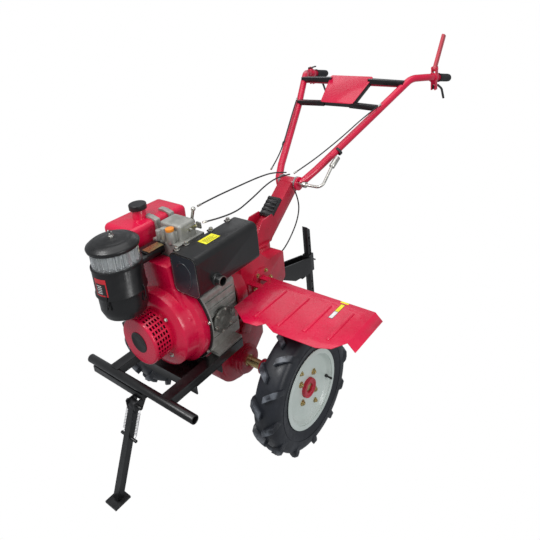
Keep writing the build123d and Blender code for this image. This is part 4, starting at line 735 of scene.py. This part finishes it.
LABEL_TURN = math.radians(-82)
curved_label("air_cleaner_label", (CAN_X, CAN_Y), CAN_R, LABEL_TURN, 0.30, SEAM_Z + 14, SEAM_Z + 74,
             label_red)
curved_label("air_cleaner_label_field", (CAN_X, CAN_Y), CAN_R, LABEL_TURN, 0.25, SEAM_Z + 19, SEAM_Z + 58,
             label_black, 0.8)
for i in range(5):
    curved_label(f"air_cleaner_label_bar_{i}", (CAN_X, CAN_Y), CAN_R, LABEL_TURN - 0.06 + 0.02 * (i % 2),
                 0.13 - 0.02 * (i % 2),
                 SEAM_Z + 24 + i * 6.4, SEAM_Z + 26.2 + i * 6.4, label_white, 1.0)
print("air cleaner detailed")

# %% [markdown]
# The exhaust box gets a separate cap on its front end with a bright edge and a raised arch, screws
# along its inner top edge, a yellow plate with plain rules, and a dark lip and a collar on its
# short outlet pipe.

# %% Muffler cap, screws, plate and outlet
box_low, box_high = span("muffler")
STUB_LENGTH = 28.0
BOX_X0, BOX_X1 = 66.0, box_high.x - STUB_LENGTH
BOX_Y0, BOX_Z0, BOX_Z1 = box_low.y, box_low.z, box_high.z


def rounded_rect(x0, x1, z0, z1, radius, steps=8):
    """Corner-rounded outline in X and Z."""
    outline = []
    for cx, cz, start in ((x1 - radius, z1 - radius, 0), (x0 + radius, z1 - radius, 90),
                          (x0 + radius, z0 + radius, 180),
                          (x1 - radius, z0 + radius, 270)):
        for i in range(steps + 1):
            turn = math.radians(start + 90 * i / steps)
            outline.append((cx + radius * math.cos(turn), cz + radius * math.sin(turn)))
    return outline


def ring_plate(outer, inner, y, depth):
    """A flat ring between two outlines with the same number of points, facing -Y."""
    n = len(outer)
    points = [Vector((a, y + d, b)) for d in (0, depth) for loop in (outer, inner) for a, b in loop]
    faces = []
    for i in range(n):
        j = (i + 1) % n
        faces += [(i, j, n + j, n + i), (2 * n + i, 3 * n + i, 3 * n + j, 2 * n + j),
                  (i, 2 * n + i, 2 * n + j, j),
                  (n + i, n + j, 3 * n + j, 3 * n + i)]
    return points, faces


edge_out = rounded_rect(BOX_X0 - 1.5, BOX_X1 + 1.5, BOX_Z0 - 1.5, BOX_Z1 + 1.5, 23)
edge_in = rounded_rect(BOX_X0 + 2.5, BOX_X1 - 2.5, BOX_Z0 + 2.5, BOX_Z1 - 2.5, 19)
make("muffler_cap", merge(slab([(a, b) for a, b in edge_in], (0, BOX_Y0 + 3, 0), (1, 0, 0), UPWARD, 4.5)),
     slate_paint,
     "chassis", bevel=1.2, bend=50)
make("muffler_cap_edge", ring_plate(edge_out, edge_in, BOX_Y0 - 2.2, 14), muffler_paint, "chassis",
     bevel=0.9, bend=50)
edge_line = ring_plate(rounded_rect(BOX_X0 + 2.4, BOX_X1 - 2.4, BOX_Z0 + 2.4, BOX_Z1 - 2.4, 19),
                       rounded_rect(BOX_X0 + 3.6, BOX_X1 - 3.6, BOX_Z0 + 3.6, BOX_Z1 - 3.6, 18),
                       BOX_Y0 - 2.6, 2)
make("muffler_cap_bare_edge", edge_line, zinc_bright, "chassis")
ARCH_X, ARCH_Z = (BOX_X0 + BOX_X1) / 2 - 6, (BOX_Z0 + BOX_Z1) / 2 - 4
arch = []
for i in range(19):
    turn = math.radians(-70 + 210 * i / 18)
    arch.append((ARCH_X + 34 * math.cos(turn), BOX_Y0 - 1.6, ARCH_Z + 46 * math.sin(turn)))
make("muffler_cap_arch", smooth_line(arch, 2.2, steps=4), slate_paint, "chassis", bend=70)
PLATE_Y = BOX_Y0 + 92
make("muffler_blank_plate", block((BOX_X0 + 34, PLATE_Y, BOX_Z1 + 0.2),
                                  (BOX_X0 + 74, PLATE_Y + 66, BOX_Z1 + 0.9)), label_yellow,
     "chassis", bevel=0.2)
marks = [block((BOX_X0 + 66 - 7 * k, PLATE_Y + 8, BOX_Z1 + 0.8),
               (BOX_X0 + 68 - 7 * k, PLATE_Y + 58 - 9 * (k % 2), BOX_Z1 + 1.1))
         for k in range(4)]
make("muffler_plate_rules", merge(*marks), label_black, "chassis")
screws = [hex_head((BOX_X0 + 14, BOX_Y0 + d, BOX_Z1 + 0.1), UPWARD, 12, 9) for d in (20, 62, 176, 262)]
clamps = [block((BOX_X0 + 2, BOX_Y0 + d - 9, BOX_Z1 - 4), (BOX_X0 + 24, BOX_Y0 + d + 9,
                                                           BOX_Z1 + 1.2)) for d in (20, 62, 176, 262)]
make("muffler_screws", merge(*screws), zinc_bright, "chassis", bevel=0.5)
make("muffler_screw_tabs", merge(*clamps), muffler_paint, "chassis", bevel=0.8)
STUB_Y, STUB_Z = -145.0, 676.0
lip = [(BOX_X1 + 25, 14.2), (BOX_X1 + 27.6, 14.2), (BOX_X1 + 28.4, 15.4), (BOX_X1 + 28.0, 16.9),
       (BOX_X1 + 25, 17.0)]
make("muffler_outlet_lip", lathe(lip, (0, STUB_Y, STUB_Z), (1, 0, 0), 48, closed=True), cast_dark,
     "chassis", bend=60)
collar = [(BOX_X1 - 1, 22), (BOX_X1 + 2, 22), (BOX_X1 + 5, 18.5), (BOX_X1 + 6, 16.2), (BOX_X1 - 1, 16.2)]
make("muffler_outlet_collar", lathe(collar, (0, STUB_Y, STUB_Z), (1, 0, 0), 48, closed=True),
     muffler_paint, "chassis", bend=50)
print("muffler detailed")

# %% [markdown]
# ## Springs, grips and cables
# Thin things are drawn along their own line. Each stand spring is a wound wire with straight ends,
# each grip is turned with a flange and a row of soft ribs, and each cable is a tube along the same
# route points as in the engineering model.

# %% Springs and grips
spring_low, spring_high = span("stand_springs")


def wound_spring(x):
    """A coiled wire that runs from the top of the springs' box to its bottom."""
    top = Vector((x, spring_high.y - 4, spring_high.z - 3))
    foot = Vector((x, spring_low.y + 4, spring_low.z + 3))
    along = (foot - top).normalized()
    side, face = Vector((1, 0, 0)), along.cross(Vector((1, 0, 0)))
    length, turns, per_turn = (foot - top).length, 15, 8
    line = [top]
    for i in range(turns * per_turn + 1):
        turn = 2 * math.pi * i / per_turn
        off_line = side * math.cos(turn) + face * math.sin(turn)
        line.append(top + along * (9 + (length - 18) * i / (turns * per_turn)) + off_line * 3.6)
    line.append(foot)
    return smooth_line(line, 0.95, sides=2, steps=3)


SPRING_X = spring_high.x - 4.5
make("stand_wound_springs", merge(wound_spring(SPRING_X), wound_spring(-SPRING_X)), wire_steel, "stand",
     bend=80,
     stands_for=("stand_springs",))

GRIP_END, GRIP_WAY = Vector((352, 1400, 1032)), Vector((14, 210, -42)).normalized()
GRIP_PROFILE = [(-116, 16.1), (-116, 21), (-112, 21.5), (-110, 18.2)]
for i in range(11):
    GRIP_PROFILE += [(-106 + 9 * i, 17.6), (-104 + 9 * i, 18.9), (-100.5 + 9 * i, 18.9),
                     (-98.5 + 9 * i, 17.6)]
GRIP_PROFILE += [(-3, 18.4), (1, 16.5), (3.4, 12), (4, 6)]
grips = [lathe(GRIP_PROFILE, (s * GRIP_END.x, GRIP_END.y, GRIP_END.z),
               (s * GRIP_WAY.x, GRIP_WAY.y, GRIP_WAY.z), 48) for s in (-1, 1)]
make("ribbed_grips", merge(*grips), black_rubber, "handlebar", bend=50,
     stands_for=("handlebar_grips",))
print("springs and grips wound and turned")

# %% Cables
CABLE_R = 2.8
ROUTES = {
    "throttle": [(66, -64, 817), (112, 30, 812), (104, 150, 826), (80, 270, 836), (62, 370, 828),
                 (50, 458, 806)],
    "decompression": [(30, -44, 862), (36, 30, 866), (50, 150, 868), (50, 270, 862), (42, 372, 844),
                      (34, 456, 812)],
    "gearbox": [(60, 470, 730), (58, 500, 668), (52, 486, 590), (44, 430, 520), (36, 372, 478),
                (30, 326, 470)],
    "left_lever": [(60, 476, 806), (84, 560, 828), (116, 650, 864), (152, 740, 908), (190, 840, 962),
                   (226, 930, 1000)],
}
ROUTES["right_lever"] = [(-x, y, z) for x, y, z in ROUTES["left_lever"]]


def ferrule(spot, toward):
    """The plated end cap of a cable's jacket."""
    way = Vector(toward) - Vector(spot)
    return lathe([(-1, CABLE_R + 1.1), (14, CABLE_R + 1.1), (16, CABLE_R + 0.4)], spot, way, 20)


engine_run = merge(*[smooth_line(ROUTES[n], CABLE_R, sides=3) for n in ("throttle", "decompression")])
engine_cables = make("engine_cable_pair", engine_run, cable_jacket, None, bend=80,
                     stands_for=("engine_cables",))
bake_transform(engine_cables)
gearbox_run = make("gearbox_cable_run", smooth_line(ROUTES["gearbox"], CABLE_R, sides=3), cable_jacket,
                   None, bend=80,
                   stands_for=("gearbox_cable",))
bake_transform(gearbox_run)
make("handlebar_cable_runs", merge(*[smooth_line(ROUTES[n], CABLE_R, sides=3) for n in ("left_lever",
                                                                                        "right_lever")]),
     cable_jacket,
     "handlebar", bend=80, stands_for=("handlebar_cables",))
make("engine_cable_ferrules", merge(*[ferrule(ROUTES[n][0], ROUTES[n][1]) for n in ("throttle",
                                                                                    "decompression")]),
     zinc_bright,
     "chassis", bend=50)
make("handlebar_cable_ferrules", merge(*[ferrule(ROUTES[n][e], ROUTES[n][f]) for n in ("left_lever",
                                                                                       "right_lever")
                                         for e, f in ((0, 1), (-1, -2))]), zinc_bright, "handlebar",
     bend=50)
clamps = [lathe([(-6, 19), (-6, 17), (6, 17), (6, 19)], (s * 139, 698, 860 - 18), (s * 0.29, 0.78, 0.45),
                36, closed=True) for s in (-1, 1)]
make("handlebar_cable_clamps", merge(*clamps), black_plastic, "handlebar", bevel=0.6, bend=50)
print(len(ROUTES), "cables run")

# %% [markdown]
# ## Fasteners and covers
# Bolts tell the eye how big a machine is, so rings of them stand on the recoil drum's flange, round
# the blower cover, on the crankcase side, the clutch bell, the gearbox covers and the final drive.

# %% Engine side and covers
CRANK_Z = 496.0
BELL_FRONT_Y, GEARBOX_COVER_Y, GEARBOX_COVER_STEP = 45.5, 150.0, 8.0
FINAL_FACE_X = 78.0
SIDE_COVER_Y, SIDE_COVER_Z = -92.0, 470.0
FRONT = (0, -1, 0)
drum_low, drum_high = span("recoil_drum")
DRUM_FRONT_Y = drum_low.y
badge = [(0.2, 37), (1.4, 37), (2.2, 35.5), (2.2, 31), (1.4, 30), (1.4, 3)]
make("recoil_blank_badge", lathe(badge, (0, DRUM_FRONT_Y, CRANK_Z), FRONT, 64), black_plastic, "chassis",
     bend=40)
shroud_high = span("blower_housing")[1]


def ring_of_bolts(centre, out, radius, count, across, height, start=0.0):
    """Bolt heads on a circle round a centre, on a face that looks along out."""
    out = Vector(out).normalized()
    side = Vector((0, 0, 1)).cross(out).normalized()
    up = out.cross(side)
    spots = []
    for i in range(count):
        turn = math.radians(start) + 2 * math.pi * i / count
        spot = Vector(centre) + side * math.cos(turn) * radius + up * math.sin(turn) * radius
        spots.append(hex_head(spot, out, across, height))
    return merge(*spots)


make("recoil_flange_bolts", ring_of_bolts((0, drum_high.y - 0.5, CRANK_Z), FRONT, 97, 4, 10, 6, 45),
     zinc_bright, "chassis", bevel=0.5)
gasket = [(0, 150), (0, 166), (4, 166), (4, 150)]
make("blower_gasket", lathe(gasket, (0, shroud_high.y - 1, CRANK_Z), FRONT, 96, closed=True),
     black_rubber, "chassis", bend=40)
rim = [(0, 150), (0, 169), (2.4, 169), (2.4, 150)]
make("blower_back_rim", lathe(rim, (0, shroud_high.y + 1.6, CRANK_Z), FRONT, 96, closed=True), cast_grey,
     "chassis", bevel=0.4, bend=40)
make("blower_cover_bolts", ring_of_bolts((0, shroud_high.y - 4, CRANK_Z), FRONT, 163, 8, 9, 6, 10),
     zinc_bright, "chassis", bevel=0.4)
elbow_low, elbow_high = span("intake_elbow")
make("elbow_bracket", block((elbow_high.x - 30, elbow_low.y + 20, elbow_high.z + 0.1),
                            (elbow_high.x + 4, elbow_high.y - 14, elbow_high.z + 3)),
     zinc_yellow, "chassis", bevel=0.8)
SIDE = (1, 0, 0)
CASE_SIDE_X = 125.0
cover = [(0.0, 46), (5, 46), (8, 43), (9, 38), (6, 34), (6, 16), (10, 13), (10, 3)]
make("crankcase_side_cover", lathe(cover, (CASE_SIDE_X, SIDE_COVER_Y, SIDE_COVER_Z), SIDE, 64), cast_dark,
     "chassis", bevel=0.5, bend=40)
make("crankcase_side_bolts", ring_of_bolts((CASE_SIDE_X + 7.5, SIDE_COVER_Y, SIDE_COVER_Z), SIDE, 40, 6,
                                           9, 5, 15), zinc_bright, "chassis", bevel=0.5)
print("engine covers and bolts placed")

# %% Transmission bolts
box_low, box_high = span("gearbox_case")
make("bell_flange_bolts", ring_of_bolts((0, BELL_FRONT_Y, CRANK_Z), FRONT, 118, 6, 11, 7, 30),
     zinc_yellow, "chassis", bevel=0.5)
for side, s in (("left", 1), ("right", -1)):
    make(f"gearbox_cover_bolts_{side}", ring_of_bolts((s * (box_high.x - GEARBOX_COVER_STEP),
                                                       GEARBOX_COVER_Y, CRANK_Z - 14), (s, 0, 0), 48, 6,
                                                      11, 6, 0), zinc_yellow,
         "chassis", bevel=0.5)
    make(f"final_drive_bolts_{side}", ring_of_bolts((s * FINAL_FACE_X, 0, AXLE_Z), (s, 0, 0), 76, 8, 11,
                                                    6, 22), zinc_yellow, "chassis", bevel=0.5)
print("transmission bolts placed")

# %% [markdown]
# The left fender carries stickers near its outer edge, drawn as films of three colours, without
# lettering.

# %% Stickers
TOP_Z = 520.0


def sticker(name, x0, x1, y0, y1, finish, lift, body="chassis", top=TOP_Z):
    make(name, block((x0, y0, top + lift), (x1, y1, top + lift + 0.25)), finish, body, bevel=0.1)


sticker("fender_sticker_black", 474, 490, 42, 128, label_black, 0.05)
sticker("fender_sticker_yellow", 475.5, 488.5, 84, 126, label_yellow, 0.3)
sticker("fender_sticker_white", 475.5, 488.5, 44, 82, label_white, 0.3)
sticker("fender_small_sticker", 466, 496, 134, 143, label_yellow, 0.05)
print("blank stickers placed")
